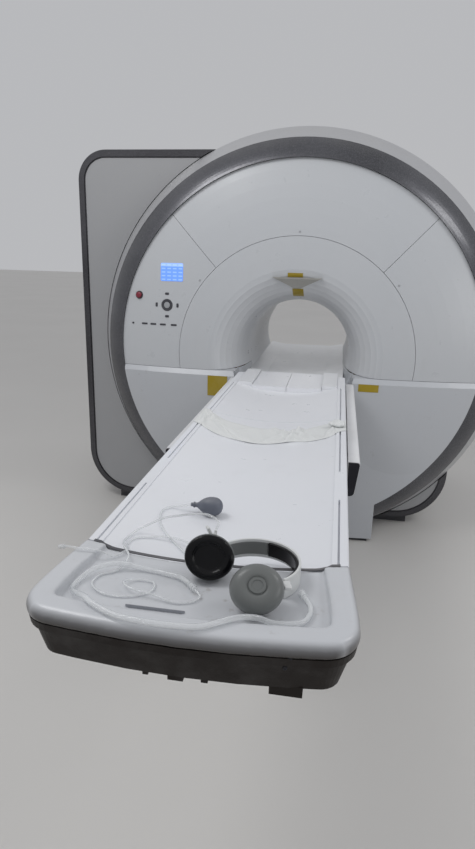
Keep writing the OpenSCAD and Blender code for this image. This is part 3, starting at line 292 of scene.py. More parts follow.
def make_rub_marks():
    """Hair scratches and scuffs: long thin streaks that come and go."""
    group, takes, gives = new_group(
        "rub_marks",
        (
            ("Colour", COLOUR, (0.8, 0.8, 0.8, 1)),
            ("Mark", COLOUR, (0.4, 0.4, 0.4, 1)),
            ("Amount", FLOAT, 0.3),
            ("Across", FLOAT, 60.0),
            ("Along", FLOAT, 2.0),
        ),
        (("Colour", COLOUR), ("Mask", FLOAT)),
    )
    place = group.nodes.new("ShaderNodeTexCoord").outputs["Object"]
    shares = ((0, takes["Across"]), (1, takes["Along"]), (2, takes["Across"]))
    spread = add_node(group, "ShaderNodeCombineXYZ", shares).outputs[0]
    drawn = add_node(group, "ShaderNodeMapping", (("Vector", place), ("Scale", spread))).outputs[0]
    streak = ramp(group, noise(group, drawn, 1.0, 3.0, 0.7), 0.62, 0.70)
    patch = ramp(group, noise(group, place, 5.0, 4.0, 0.6), 0.45, 0.65)
    mask = math_node(group, "MULTIPLY", math_node(group, "MULTIPLY", streak, patch), takes["Amount"], True)
    group.links.new(mix_colour(group, mask, takes["Colour"], takes["Mark"]), gives["Colour"])
    group.links.new(mask, gives["Mask"])
    return group


def make_flake_paint():
    """Metallic paint: tiny flakes that catch the light, over a slow drift in tone."""
    group, takes, gives = new_group(
        "flake_paint",
        (
            ("Colour", COLOUR, (0.2, 0.2, 0.22, 1)),
            ("Flake", COLOUR, (0.5, 0.5, 0.52, 1)),
            ("Sparkle", FLOAT, 0.4),
            ("Sheen", FLOAT, 0.35),
        ),
        (("Colour", COLOUR), ("Roughness", FLOAT), ("Height", FLOAT)),
    )
    place = group.nodes.new("ShaderNodeTexCoord").outputs["Object"]
    cells = add_node(group, "ShaderNodeTexVoronoi", (("Vector", place), ("Scale", 520.0))).outputs["Color"]
    bright = ramp(group, add_node(group, "ShaderNodeSeparateColor", ((0, cells),)).outputs[0], 0.6, 1.0)
    flake = math_node(group, "MULTIPLY", bright, takes["Sparkle"], True)
    slow = ramp(group, noise(group, place, 2.2, 3.0), 0.3, 0.7, 0.0, 0.18)
    base = mix_colour(group, slow, takes["Colour"], takes["Flake"])
    group.links.new(mix_colour(group, flake, base, takes["Flake"]), gives["Colour"])
    haze = ramp(group, noise(group, place, 30.0, 4.0), 0.2, 0.8, -0.04, 0.06)
    group.links.new(math_node(group, "ADD", takes["Sheen"], haze), gives["Roughness"])
    group.links.new(noise(group, place, 160.0, 2.0), gives["Height"])
    return group


def make_moulded_grain():
    """Spark-eroded grain of a black or grey moulding, with greasy patches."""
    group, takes, gives = new_group(
        "moulded_grain",
        (
            ("Colour", COLOUR, (0.05, 0.05, 0.05, 1)),
            ("Pale", FLOAT, 0.2),
            ("Grain", FLOAT, 240.0),
            ("Sheen", FLOAT, 0.55),
        ),
        (("Colour", COLOUR), ("Roughness", FLOAT), ("Height", FLOAT)),
    )
    place = group.nodes.new("ShaderNodeTexCoord").outputs["Object"]
    cells = (("Vector", place), ("Scale", takes["Grain"]))
    pits = add_node(group, "ShaderNodeTexVoronoi", cells).outputs["Distance"]
    rubbed = ramp(group, noise(group, place, 11.0, 5.0, 0.6), 0.45, 0.75)
    paler = mix_colour(group, 1.0, takes["Colour"], (0.10, 0.10, 0.10, 1), "ADD")
    worn = math_node(group, "MULTIPLY", rubbed, takes["Pale"], True)
    group.links.new(mix_colour(group, worn, takes["Colour"], paler), gives["Colour"])
    polish = math_node(group, "MULTIPLY", rubbed, 0.14)
    group.links.new(math_node(group, "SUBTRACT", takes["Sheen"], polish), gives["Roughness"])
    group.links.new(pits, gives["Height"])
    return group


def make_drawn_metal():
    """Drawn or turned metal: fine lines along one way, and slight tarnish."""
    group, takes, gives = new_group(
        "drawn_metal",
        (
            ("Colour", COLOUR, (0.6, 0.6, 0.62, 1)),
            ("Tarnish", FLOAT, 0.25),
            ("Sheen", FLOAT, 0.3),
        ),
        (("Colour", COLOUR), ("Roughness", FLOAT), ("Height", FLOAT)),
    )
    place = group.nodes.new("ShaderNodeTexCoord").outputs["Object"]
    lines = noise(group, place, 1.0, 2.0, 0.6, (420.0, 420.0, 6.0))
    spots = ramp(group, noise(group, place, 8.0, 6.0, 0.65), 0.5, 0.72)
    dulled = math_node(group, "MULTIPLY", spots, takes["Tarnish"], True)
    group.links.new(mix_colour(group, dulled, takes["Colour"], (0.30, 0.27, 0.23, 1)), gives["Colour"])
    drawn = ramp(group, lines, 0.2, 0.8, -0.06, 0.10)
    group.links.new(math_node(group, "ADD", takes["Sheen"], drawn), gives["Roughness"])
    group.links.new(lines, gives["Height"])
    return group


gel_coat = make_gel_coat()
settled_dust = make_settled_dust()
rub_marks = make_rub_marks()
flake_paint = make_flake_paint()
moulded_grain = make_moulded_grain()
drawn_metal = make_drawn_metal()


def use_group(tree, group, **values):
    """A shared effect in a material, with its inputs set or joined."""
    made = tree.nodes.new("ShaderNodeGroup")
    made.node_tree = group
    for name, value in values.items():
        if isinstance(value, bpy.types.NodeSocket):
            tree.links.new(value, made.inputs[name])
        else:
            made.inputs[name].default_value = value
    return made.outputs


def new_finish(name, **values):
    """A material with one Principled shader, its plain values set on its own sockets."""
    material = bpy.data.materials.new(name)
    material.use_nodes = True
    shader = material.node_tree.nodes["Principled BSDF"]
    for label, value in values.items():
        shader.inputs[label.replace("_", " ")].default_value = value
    return material, material.node_tree, shader.inputs


# The strength and the depth in metres of each skin's relief.
PEEL, FLAKES, PITS, LINES = (0.25, 0.0006), (0.15, 0.0004), (0.30, 0.0004), (0.20, 0.0002)
TONE_DRIFT = 0.05


def dress(tree, shader, tone, rough, height, relief, dust=0.0):
    """Dust over a skin if there is any, then its tone, roughness and relief into the shader."""
    if dust:
        film = use_group(tree, settled_dust, Colour=tone, Roughness=rough, Amount=dust)
        tone, rough = film["Colour"], film["Roughness"]
    tree.links.new(tone, shader["Base Color"])
    tree.links.new(rough, shader["Roughness"])
    strength, depth = relief
    bump = (("Height", height), ("Strength", strength), ("Distance", depth))
    tree.links.new(add_node(tree, "ShaderNodeBump", bump).outputs[0], shader["Normal"])


def gel_coat_finish(name, colour, sheen=0.30, handling=0.08, dust=0.0, coat=0.15):
    """A sprayed or moulded face, clean or a little dusty."""
    material, tree, shader = new_finish(name, Coat_Weight=coat, Coat_Roughness=0.18)
    skin = use_group(tree, gel_coat, Colour=(*colour, 1), Drift=TONE_DRIFT, Handling=handling, Sheen=sheen)
    dress(tree, shader, skin["Colour"], skin["Roughness"], skin["Height"], PEEL, dust)
    return material


def rubbed_finish(name, colour, mark, amount, across=60.0, along=2.0, sheen=0.30, dust=0.0, handling=0.08):
    """Gel coat that has been slid over and leant on."""
    material, tree, shader = new_finish(name, Coat_Weight=0.12, Coat_Roughness=0.2)
    skin = use_group(tree, gel_coat, Colour=(*colour, 1), Drift=TONE_DRIFT, Handling=handling, Sheen=sheen)
    worn = use_group(
        tree, rub_marks, Colour=skin["Colour"], Mark=(*mark, 1), Amount=amount, Across=across, Along=along
    )
    rough = math_node(tree, "ADD", skin["Roughness"], math_node(tree, "MULTIPLY", worn["Mask"], 0.3))
    dress(tree, shader, worn["Colour"], rough, skin["Height"], PEEL, dust)
    return material


def flake_finish(name, colour, flake):
    """Dark metallic paint under a thin clear coat."""
    material, tree, shader = new_finish(name, Metallic=0.55, Coat_Weight=0.5, Coat_Roughness=0.16)
    paint = use_group(tree, flake_paint, Colour=(*colour, 1), Flake=(*flake, 1), Sparkle=0.35, Sheen=0.34)
    dress(tree, shader, paint["Colour"], paint["Roughness"], paint["Height"], FLAKES, 0.25)
    return material


def grain_finish(name, colour, pale=0.25, grain=240.0, sheen=0.55, dust=0.15):
    """A grained moulding, rubber or matt paint."""
    material, tree, shader = new_finish(name)
    skin = use_group(tree, moulded_grain, Colour=(*colour, 1), Pale=pale, Grain=grain, Sheen=sheen)
    dress(tree, shader, skin["Colour"], skin["Roughness"], skin["Height"], PITS, dust)
    return material


def metal_finish(name, colour, sheen=0.3, metallic=1.0):
    """Bare or thinly painted metal."""
    material, tree, shader = new_finish(name, Metallic=metallic)
    skin = use_group(tree, drawn_metal, Colour=(*colour, 1), Sheen=sheen, Tarnish=0.2)
    dress(tree, shader, skin["Colour"], skin["Roughness"], skin["Height"], LINES)
    return material


# Where the tray's outer side begins, beside and before it, and over which heights its painted shade deepens.
TRAY_SIDE, TRAY_FRONT, TRAY_DARKENS = (0.272, 0.286), (-2.440, -2.452), (1.003, 0.976)
LEVEL_TO_STEEP = (0.95, 0.20)


def paint_tray_side_shade(material):
    """The tray's outer side: white on its rounded rim, running into the fascia's brown below; partly the
    fascia's own dark moulding, partly painted shade, darker the steeper and lower the face.
    """
    tree = material.node_tree
    shader = tree.nodes["Principled BSDF"].inputs
    white = shader["Base Color"].links[0].from_socket
    spot = spot_in(tree)[1]
    beside = ramp(tree, math_node(tree, "ABSOLUTE", spot[0]), *TRAY_SIDE)
    outside = math_node(tree, "MAXIMUM", beside, ramp(tree, spot[1], *TRAY_FRONT))
    # Steeper faces turn darker: painted shade where the rim rolls away from the light above.
    steep = ramp(tree, facing_up(tree), *LEVEL_TO_STEEP)
    low = ramp(tree, spot[2], *TRAY_DARKENS)
    mask = math_node(tree, "MULTIPLY", outside, math_node(tree, "MULTIPLY", steep, low), True)
    mask = math_node(tree, "POWER", mask, 0.48)
    tree.links.new(mix_colour(tree, mask, white, (0.030, 0.025, 0.023, 1)), shader["Base Color"])


def paint_bore_light_on_flare(material):
    """Painted light on the flare and the bore, standing in for the pale light the table throws into them: paler
    towards the bore's axis.
    """
    tree = material.node_tree
    shader = tree.nodes["Principled BSDF"].inputs
    white = shader["Base Color"].links[0].from_socket
    spot = spot_in(tree)[1]
    height = math_node(tree, "SUBTRACT", spot[2], BORE_Z)
    across, upward = (math_node(tree, "MULTIPLY", part, part) for part in (spot[0], height))
    radius = math_node(tree, "SQRT", math_node(tree, "ADD", across, upward))
    near = ramp(tree, radius, FLARE_OUT_R, FLARE_IN_R)
    tree.links.new(mix_colour(tree, near, white, (0.68, 0.692, 0.71, 1)), shader["Base Color"])


def clear_tube_finish(name, haze):
    """Clear plastic tube: its wall lets half the view through and shines where it turns away; its edges there
    are also painted darker, as shade standing in for the clear wall seen edge-on.
    """
    material, tree, shader = new_finish(name, IOR=1.45, Coat_Weight=1.0, Coat_Roughness=0.04)
    place = tree.nodes.new("ShaderNodeTexCoord").outputs["Object"]
    rim = add_node(tree, "ShaderNodeLayerWeight", (("Blend", 0.42),)).outputs["Facing"]
    cloud = noise(tree, place, 26.0, 3.0, 0.6)
    wall = ramp(tree, rim, 0.15, 0.75, haze, haze + 0.5)
    body = math_node(tree, "ADD", wall, ramp(tree, cloud, 0.3, 0.7, -0.03, 0.05), True)
    # Painted shade: darker grey where the wall turns away from view.
    tone = mix_colour(tree, ramp(tree, rim, 0.3, 0.9), (0.92, 0.94, 0.95, 1), (0.50, 0.53, 0.56, 1))
    tree.links.new(tone, shader["Base Color"])
    tree.links.new(body, shader["Alpha"])
    tree.links.new(ramp(tree, cloud, 0.2, 0.8, 0.06, 0.16), shader["Roughness"])
    return material


def blocks_along(tree, share, count, start, stop):
    """Bright bars across the display: so many, each from one share of its step to another."""
    step = math_node(tree, "FRACT", math_node(tree, "MULTIPLY", share, count))
    opens = ramp(tree, step, start, start + 0.04)
    return math_node(tree, "MULTIPLY", opens, ramp(tree, step, stop, stop + 0.04, 1.0, 0.0))


def screen_finish():
    """The lit display: a blue field with a slightly paler header and a grid of plain blocks."""
    material, tree, shader = new_finish(
        "lit_screen", Emission_Strength=0.62, Coat_Weight=0.6, Coat_Roughness=0.08
    )
    place, spot = spot_in(tree)
    low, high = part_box("display_screen")
    across = ramp(tree, spot[0], low.x, high.x)
    height = ramp(tree, spot[2], low.z, high.z)
    header = ramp(tree, height, 0.80, 0.82)
    columns = blocks_along(tree, across, 4.0, 0.14, 0.82)
    rows = blocks_along(tree, height, 5.0, 0.30, 0.66)
    blocks = math_node(tree, "MULTIPLY", columns, rows)
    drift = ramp(tree, noise(tree, place, 18.0), 0.3, 0.7, 0.0, 0.25)
    field = mix_colour(tree, drift, (0.12, 0.27, 0.80, 1), (0.19, 0.37, 0.86, 1))
    lit = mix_colour(tree, math_node(tree, "MULTIPLY", blocks, 0.28), field, (0.55, 0.75, 1.0, 1))
    lit = mix_colour(tree, math_node(tree, "MULTIPLY", header, 0.3), lit, (0.60, 0.78, 1.0, 1))
    tree.links.new(lit, shader["Emission Color"])
    tree.links.new(lit, shader["Base Color"])
    tree.links.new(ramp(tree, noise(tree, place, 40.0, 4.0), 0.2, 0.8, 0.10, 0.22), shader["Roughness"])
    return material


# ---------------------------------------------------------------- finishes of the CAD nodes

# How little light the black and brown pieces throw back.
DULL = 0.2

cover_white = gel_coat_finish("cover_white", (0.535, 0.55, 0.57), handling=0.06, dust=0.10)
paint_bore_light_on_flare(cover_white)
cover_grey = rubbed_finish(
    "cover_grey", (0.50, 0.515, 0.54), (0.30, 0.29, 0.28), 0.30, 30.0, 30.0, sheen=0.34, dust=0.15
)
# Painted shade: the body's panels take the covers' white made darker for the shadow they stand in.
shaded_panel_white = gel_coat_finish("shaded_panel_white", (0.35, 0.353, 0.362), sheen=0.32, dust=0.15)
rim_white = gel_coat_finish("rim_white", (0.40, 0.402, 0.415), dust=0.2)
hood_grey = grain_finish("hood_grey", (0.30, 0.295, 0.275), pale=0.2, sheen=0.5)
bezel_grey = flake_finish("bezel_grey", (0.053, 0.054, 0.061), (0.30, 0.30, 0.33))
band_grey = flake_finish("band_grey", (0.036, 0.035, 0.040), (0.18, 0.18, 0.20))
top_white = rubbed_finish("top_white", (0.80, 0.81, 0.84), (0.62, 0.63, 0.65), 0.10, 46.0, 1.5, handling=0.07)
block_white = rubbed_finish("block_white", (0.76, 0.77, 0.79), (0.5, 0.5, 0.5), 0.12, sheen=0.32)
tray_white = rubbed_finish(
    "tray_white", (0.62, 0.632, 0.655), (0.36, 0.34, 0.32), 0.55, 24.0, 24.0, sheen=0.32, handling=0.16
)
paint_tray_side_shade(tray_white)
frame_white = gel_coat_finish("frame_white", (0.82, 0.82, 0.83), sheen=0.34, dust=0.2)
fascia_brown = grain_finish("fascia_brown", (0.017, 0.013, 0.011), pale=0.25, sheen=0.5, dust=0.06)
cap_dark = grain_finish("cap_dark", (0.018, 0.018, 0.024), pale=0.2, sheen=0.5)
key_dark = grain_finish("key_dark", (0.045, 0.045, 0.055), pale=0.3, grain=600.0, sheen=0.45, dust=0.05)
key_grey = grain_finish("key_grey", (0.34, 0.35, 0.37), pale=0.3, grain=600.0, sheen=0.45, dust=0.05)
base_dark = grain_finish("base_dark", (0.035, 0.035, 0.04), pale=0.4, grain=160.0, sheen=0.6, dust=0.5)
rail_white = grain_finish("rail_white", (0.70, 0.70, 0.66), pale=0.1, grain=300.0, sheen=0.35)
coil_former = grain_finish("coil_former", (0.55, 0.50, 0.38), pale=0.2, grain=120.0, sheen=0.5)
coil_resin = grain_finish("coil_resin", (0.36, 0.20, 0.09), pale=0.3, grain=60.0, sheen=0.35)
marker_amber = grain_finish("marker_amber", (0.34, 0.245, 0.008), pale=0.4, grain=320.0, sheen=0.42, dust=0.1)
stop_red = grain_finish("stop_red", (0.20, 0.012, 0.03), pale=0.3, grain=500.0, sheen=0.3, dust=0.05)
screw_steel = metal_finish("screw_steel", (0.55, 0.56, 0.58))
stage_steel = metal_finish("stage_steel", (0.60, 0.61, 0.63), sheen=0.35)
vessel_paint = metal_finish("vessel_paint", (0.55, 0.57, 0.60), sheen=0.42, metallic=0.5)
frame_steel = metal_finish("frame_steel", (0.42, 0.43, 0.45), sheen=0.45, metallic=0.4)
column_cover = gel_coat_finish("column_cover", (0.46, 0.47, 0.49), sheen=0.38, dust=0.3)
lit_screen = screen_finish()
clear_tube = clear_tube_finish("clear_tube", 0.30)
for tube in (call_tube, headset_tube, supply_tube):
    tube.data.materials.append(clear_tube)
bulb_rubber = grain_finish("bulb_rubber", (0.115, 0.127, 0.160), pale=0.4, grain=500.0, sheen=0.5, dust=0.3)
headset_white = gel_coat_finish("headset_white", (0.70, 0.71, 0.70), sheen=0.36, handling=0.2)
headset_grey = gel_coat_finish("headset_grey", (0.155, 0.163, 0.158), sheen=0.40, handling=0.25)
pad_black = grain_finish("pad_black", (0.004, 0.004, 0.005), pale=0.03, grain=420.0, sheen=0.24, dust=0.02)
for finish in (pad_black, fascia_brown, cap_dark):
    finish.node_tree.nodes["Principled BSDF"].inputs["Specular IOR Level"].default_value = DULL
seal_grey = grain_finish("seal_grey", (0.085, 0.085, 0.095), pale=0.2, sheen=0.5)
slot_grey = grain_finish("slot_grey", (0.33, 0.34, 0.37), pale=0.2, sheen=0.5)
belt_white = gel_coat_finish("belt_white", (0.72, 0.73, 0.72), sheen=0.7, handling=0.2, coat=0.0)

FINISHES = {
    cover_white: "inner_cover upper_cover_left upper_cover_top upper_cover_right bore_liner bore_bridge",
    cover_grey: "lower_cover_left lower_cover_right lower_funnel",
    shaded_panel_white: "body_panel body_shell rear_cover rear_funnel",
    rim_white: "front_rim",
    hood_grey: "laser_housing",
    bezel_grey: "ring_bezel",
    band_grey: "body_band",
    top_white: "tabletop_board socket_covers",
    block_white: "socket_blocks",
    tray_white: "foot_tray",
    frame_white: "support_frame",
    fascia_brown: "foot_fascia",
    cap_dark: "frame_end_caps",
    key_dark: "control_rings key_up key_down key_left key_right "
    "row_key_1 row_key_2 row_key_3 row_key_4 row_key_5",
    key_grey: "nav_centre_key",
    base_dark: "base_frame lift_motor",
    rail_white: "glide_rails",
    coil_former: "body_coil",
    coil_resin: "gradient_coil",
    marker_amber: "marker_plates",
    stop_red: "stop_button",
    screw_steel: "cover_screws lift_screw",
    stage_steel: "column_mid column_inner",
    vessel_paint: "magnet_vessel cold_head_turret",
    frame_steel: "cover_frame",
    column_cover: "column_outer",
    lit_screen: "display_screen",
    bulb_rubber: "call_bulb",
    headset_white: "headset_band",
    headset_grey: "headset_cups",
    clear_tube: "tube_fittings",
    pad_black: "headset_pads",
    belt_white: "body_strap",
}
for finish, names in FINISHES.items():
    for name in names.split():
        nodes[name].data.materials.clear()
        nodes[name].data.materials.append(finish)

# ---------------------------------------------------------------- pieces on the table


def turned(spot, *turns):
    """A place: a spot, then turns in degrees about its own axes."""
    whole = Matrix.Translation(spot)
    for angle, axis in turns:
        whole = whole @ Matrix.Rotation(math.radians(angle), 4, axis)
    return whole


def along(start, way):
    """A place whose own Z runs along the given way."""
    return Matrix.Translation(start) @ Vector(way).to_track_quat("Z", "Y").to_matrix().to_4x4()


def pick(piece):
    """The one piece that the next operators work on."""
    bpy.ops.object.select_all(action="DESELECT")
    piece.select_set(True)
    bpy.context.view_layer.objects.active = piece


def begin_edit(piece):
    """Open a piece's mesh with all of it selected."""
    pick(piece)
    bpy.ops.object.mode_set(mode="EDIT")
    bpy.ops.mesh.select_all(action="SELECT")


def end_piece(piece, name, place, material, angle=40):
    """Close the edit: name it, put its place into its mesh, smooth it and let it ride on the table top."""
    bpy.ops.mesh.select_all(action="SELECT")
    bpy.ops.mesh.normals_make_consistent(inside=False)
    bpy.ops.object.mode_set(mode="OBJECT")
    piece.name = piece.data.name = name
    piece.matrix_world = place
    bpy.ops.object.transform_apply(location=True, rotation=True, scale=True)
    bpy.ops.object.shade_smooth_by_angle(angle=math.radians(angle))
    piece.data.materials.append(material)
    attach(piece, "tabletop")
    return piece


def round_edges(piece, width, segments=3):
    """Sharp edges taken off, as a moulding has them."""
    edge = piece.modifiers.new("rounding", "BEVEL")
    edge.width, edge.segments, edge.limit_method = width, segments, "ANGLE"


def refine(piece, levels):
    """The piece's faces divided and drawn into soft curves."""
    finer = piece.modifiers.new("finer", "SUBSURF")
    finer.levels = finer.render_levels = levels


def remesh(piece, voxel):
    """An even mesh over the piece, which is picked here."""
    shape = piece.modifiers.new("voxels", "REMESH")
    shape.mode, shape.voxel_size = "VOXEL", voxel
    pick(piece)
    bpy.ops.object.modifier_apply(modifier=shape.name)


def flat_grid(length, width, columns, rows):
    """A fine flat grid, back in object mode, for its points to be set one by one."""
    bpy.ops.object.select_all(action="DESELECT")
    bpy.ops.mesh.primitive_grid_add(x_subdivisions=columns, y_subdivisions=rows, size=1)
    grid = bpy.context.object
    begin_edit(grid)
    bpy.ops.transform.resize(value=(length, width, 1))
    bpy.ops.object.mode_set(mode="OBJECT")
    return grid


def loft(name, place, width, height, steps, material, sides=48):
    """An oval form drawn out along its axis: at each step a depth and a share of the full oval."""
    bpy.ops.object.select_all(action="DESELECT")
    bpy.ops.mesh.primitive_circle_add(vertices=sides, radius=1, fill_type="NGON")
    piece = bpy.context.object
    begin_edit(piece)
    bpy.ops.transform.resize(value=(width * steps[0][1], height * steps[0][1], 1))
    bpy.ops.transform.translate(value=(0, 0, steps[0][0]))
    for (z0, k0), (z1, k1) in zip(steps, steps[1:]):
        bpy.ops.mesh.extrude_region_move(TRANSFORM_OT_translate={"value": (0, 0, z1 - z0)})
        bpy.ops.transform.resize(value=(k1 / k0, k1 / k0, 1))
    return end_piece(piece, name, place, material)


def spun_strip(name, centre, radius, thick, low, high, start, stop, material, rounding):
    """A strip bent round an upright axis, from one angle to another."""
    bpy.ops.object.select_all(action="DESELECT")
    bpy.ops.mesh.primitive_plane_add(size=1)
    piece = bpy.context.object
    begin_edit(piece)
    bpy.ops.transform.resize(value=(thick, high - low, 1))
    bpy.ops.transform.rotate(value=math.pi / 2, orient_axis="X", center_override=(0, 0, 0))
    bpy.ops.transform.translate(value=(radius, 0, (low + high) / 2))
    bpy.ops.mesh.spin(steps=44, angle=-math.radians(stop - start), center=(0, 0, 0), axis=(0, 0, 1))
    end_piece(piece, name, turned((*centre, 0), (start, "Z")), material, 50)
    round_edges(piece, rounding)
    return piece


def bar(name, start, stop, wide, thick, material):
    """A flat arm from one place to another."""
    way = Vector(stop) - Vector(start)
    bpy.ops.object.select_all(action="DESELECT")
    bpy.ops.mesh.primitive_cube_add(size=1)
    piece = bpy.context.object
    begin_edit(piece)
    bpy.ops.transform.resize(value=(wide, thick, way.length))
    bpy.ops.mesh.subdivide(number_cuts=2)
    end_piece(piece, name, along((Vector(start) + Vector(stop)) / 2, way), material)
    round_edges(piece, thick * 0.3)
    return piece


SWELL_FRAMES, SWELL_PRESSURE = 16, 4


def swell(piece, voxel, most):
    """Foam in its cover: remeshed and blown up a little as cloth, each point's way held to the most."""
    remesh(piece, voxel)
    before = [point.co.copy() for point in piece.data.vertices]
    cloth = piece.modifiers.new("swell", "CLOTH")
    cloth.settings.use_pressure, cloth.settings.uniform_pressure_force = True, SWELL_PRESSURE
    cloth.settings.effector_weights.gravity = 0
    cloth.point_cache.frame_start, cloth.point_cache.frame_end = 1, SWELL_FRAMES
    for step in range(SWELL_FRAMES):
        bpy.context.scene.frame_set(step + 1)
    bpy.ops.object.modifier_apply(modifier=cloth.name)
    for point, place in zip(piece.data.vertices, before):
        way = point.co - place
        if way.length > most:
            point.co = place + way * (most / way.length)
    bpy.context.scene.frame_set(1)
    bpy.ops.object.shade_smooth()
    refine(piece, 1)


# ---- the tray: its solid's form with every edge run round as a moulding has it

TRAY_VOXEL = 0.0032


def soften_tray():
    """A copy of the tray's solid, remeshed and smoothed, that takes its place."""
    tray = bpy.data.objects.new("tray_moulding", nodes["foot_tray"].data.copy())
    bpy.context.scene.collection.objects.link(tray)
    begin_edit(tray)
    bpy.ops.mesh.remove_doubles(threshold=0.00001)
    bpy.ops.object.mode_set(mode="OBJECT")
    remesh(tray, TRAY_VOXEL)
    soft = tray.modifiers.new("soft_edges", "SMOOTH")
    soft.factor, soft.iterations = 0.5, 14
    bpy.ops.object.modifier_apply(modifier=soft.name)
    bpy.ops.object.shade_smooth()
    tray.data.materials.clear()
    tray.data.materials.append(tray_white)
    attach(tray, "tabletop")
    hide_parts("foot_tray")


soften_tray()

SLOT_FROM, SLOT_TO, SLOT_Y, SLOT_Z = -0.120, -0.008, -2.3845, 0.9822
SLOT_THICK, SLOT_WIDE = 0.0012, 0.0065
bar("tray_slot", (SLOT_FROM, SLOT_Y, SLOT_Z), (SLOT_TO, SLOT_Y, SLOT_Z), SLOT_THICK, SLOT_WIDE, slot_grey)

SEAL_HALF, SEAL_WIDE, SEAL_THICK, SEAL_LIFT = 0.268, 0.009, 0.0022, 0.0006


def make_seal():
    """The seal over the joint between board and tray, along the board's bowed end."""
    seal = flat_grid(2 * SEAL_HALF, SEAL_WIDE, 64, 2)
    for point in seal.data.vertices:
        x = point.co.x
        joint = BOARD_FOOT_Y + FOOT_BOW_R - math.sqrt(FOOT_BOW_R**2 - x * x)
        point.co = (x, joint + point.co.y, max(table_height(x), TRAY_FLOOR) + SEAL_LIFT)
    bpy.ops.object.mode_set(mode="EDIT")
    end_piece(seal, "tray_seal", Matrix.Identity(4), seal_grey, 30)
    wall = seal.modifiers.new("rubber", "SOLIDIFY")
    wall.thickness, wall.offset = SEAL_THICK, 1
    round_edges(seal, 0.0007, 2)


make_seal()

# Small fixings in the tray's side, each at its place, and their turned form.
FIXING_R, FIXING_STEPS = 0.004, ((0.0, 1.0), (0.002, 0.95), (0.003, 0.7))
FIXINGS = {
    "tray_fixing_left": (-0.2555, -2.4445, 0.962),
    "tray_fixing_right": (0.189, -2.458, 0.972),
    "tray_fixing_low": (0.181, -2.456, 0.950),
}
for name, spot in FIXINGS.items():
    loft(name, along(spot, (0, -1, 0)), FIXING_R, FIXING_R, FIXING_STEPS, cap_dark, 20)

# ---- headset: two oval cups, their pads and the sprung band; steps are a depth and a share of the full oval

CUP_WIDE, CUP_HIGH = 0.050, 0.045
CUP_PLACES = {
    "left": turned((0.010, -2.262, TRAY_FLOOR + 0.048), (9, "Z"), (66, "X"), (-12, "Z")),
    "right": turned((0.116, -2.345, TRAY_FLOOR + 0.0388), (9, "Z"), (226, "X")),
}
CUP_STEPS = (
    (-0.0330, 0.36), (-0.0346, 0.40), (-0.0350, 0.50), (-0.0342, 0.64), (-0.0318, 0.76), (-0.0275, 0.87),
    (-0.0215, 0.94), (-0.0150, 0.98), (-0.0085, 1.0), (-0.0035, 1.0), (-0.0020, 0.985), (-0.0016, 0.92),
)
PAD_STEPS = (
    (-0.0010, 0.88), (-0.0004, 0.93), (0.0020, 0.965), (0.0060, 0.98), (0.0100, 0.965), (0.0128, 0.91),
    (0.0140, 0.82), (0.0135, 0.72), (0.0115, 0.64), (0.0090, 0.60), (0.0078, 0.50),
)
BOSS_STEPS = ((-0.0350, 0.20), (-0.0362, 0.22), (-0.0362, 0.30), (-0.0342, 0.33))
PAD_VOXEL, PAD_SWELL, PAD_FILL = 0.0022, 0.0012, 0.9
INLET_R = 0.004
INLET_STEPS = ((0.0, 1.0), (0.005, 1.0), (0.0055, 0.8), (0.0095, 0.7), (0.0105, 0.85), (0.0118, 0.6))
cups, pads = [], []
for side, place in CUP_PLACES.items():
    cups.append(loft("ear_cup_" + side, place, CUP_WIDE, CUP_HIGH, CUP_STEPS, headset_grey))
    loft("cup_boss_" + side, place, CUP_WIDE, CUP_HIGH, BOSS_STEPS, headset_grey)
    pad = loft("ear_pad_" + side, place, CUP_WIDE, CUP_HIGH, PAD_STEPS, pad_black)
    swell(pad, PAD_VOXEL, PAD_SWELL)
    pads.append(pad)
inlet_place = CUP_PLACES["left"] @ turned((0, CUP_HIGH - 0.003, -0.012), (-90, "X"))
loft("air_inlet", inlet_place, INLET_R, INLET_R, INLET_STEPS, headset_white, 24)
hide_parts("headset_cups")
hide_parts("headset_pads")

BAND_AT, BAND_R, BAND_T, BAND_LOW = (0.098, -2.240), 0.092, 0.005, TRAY_FLOOR + 0.0003
BAND_TOP = BAND_LOW + 0.042
BAND_INSIDE = BAND_R - BAND_T
band = spun_strip(
    "head_band", BAND_AT, BAND_R - BAND_T / 2, BAND_T, BAND_LOW, BAND_TOP, -45, 160, headset_white, 0.0012
)
spun_strip(
    "band_foam", BAND_AT, BAND_INSIDE - 0.003, 0.006, BAND_LOW + 0.007, BAND_TOP - 0.004, -38, 78,
    pad_black, 0.0024,
)
spun_strip(
    "band_liner", BAND_AT, BAND_INSIDE - 0.0012, 0.0022, BAND_LOW + 0.008, BAND_TOP - 0.006, 79, 152,
    headset_grey, 0.0006,
)


def band_end(angle):
    """A place on the band near one of its ends, where a yoke starts."""
    reach = BAND_R - 0.003
    turn = math.radians(angle)
    return (BAND_AT[0] + reach * math.cos(turn), BAND_AT[1] + reach * math.sin(turn), BAND_TOP - 0.008)


YOKE_WIDE, YOKE_THICK = 0.014, 0.006
YOKES = {
    "yoke_left": (156, (-0.004, -2.218, TRAY_FLOOR + 0.091)),
    "yoke_right": (-41, (0.173, -2.343, TRAY_FLOOR + 0.0468)),
}
for name, (angle, cup_end) in YOKES.items():
    bar(name, band_end(angle), cup_end, YOKE_WIDE, YOKE_THICK, headset_white)
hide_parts("headset_band")

# ---- call bulb

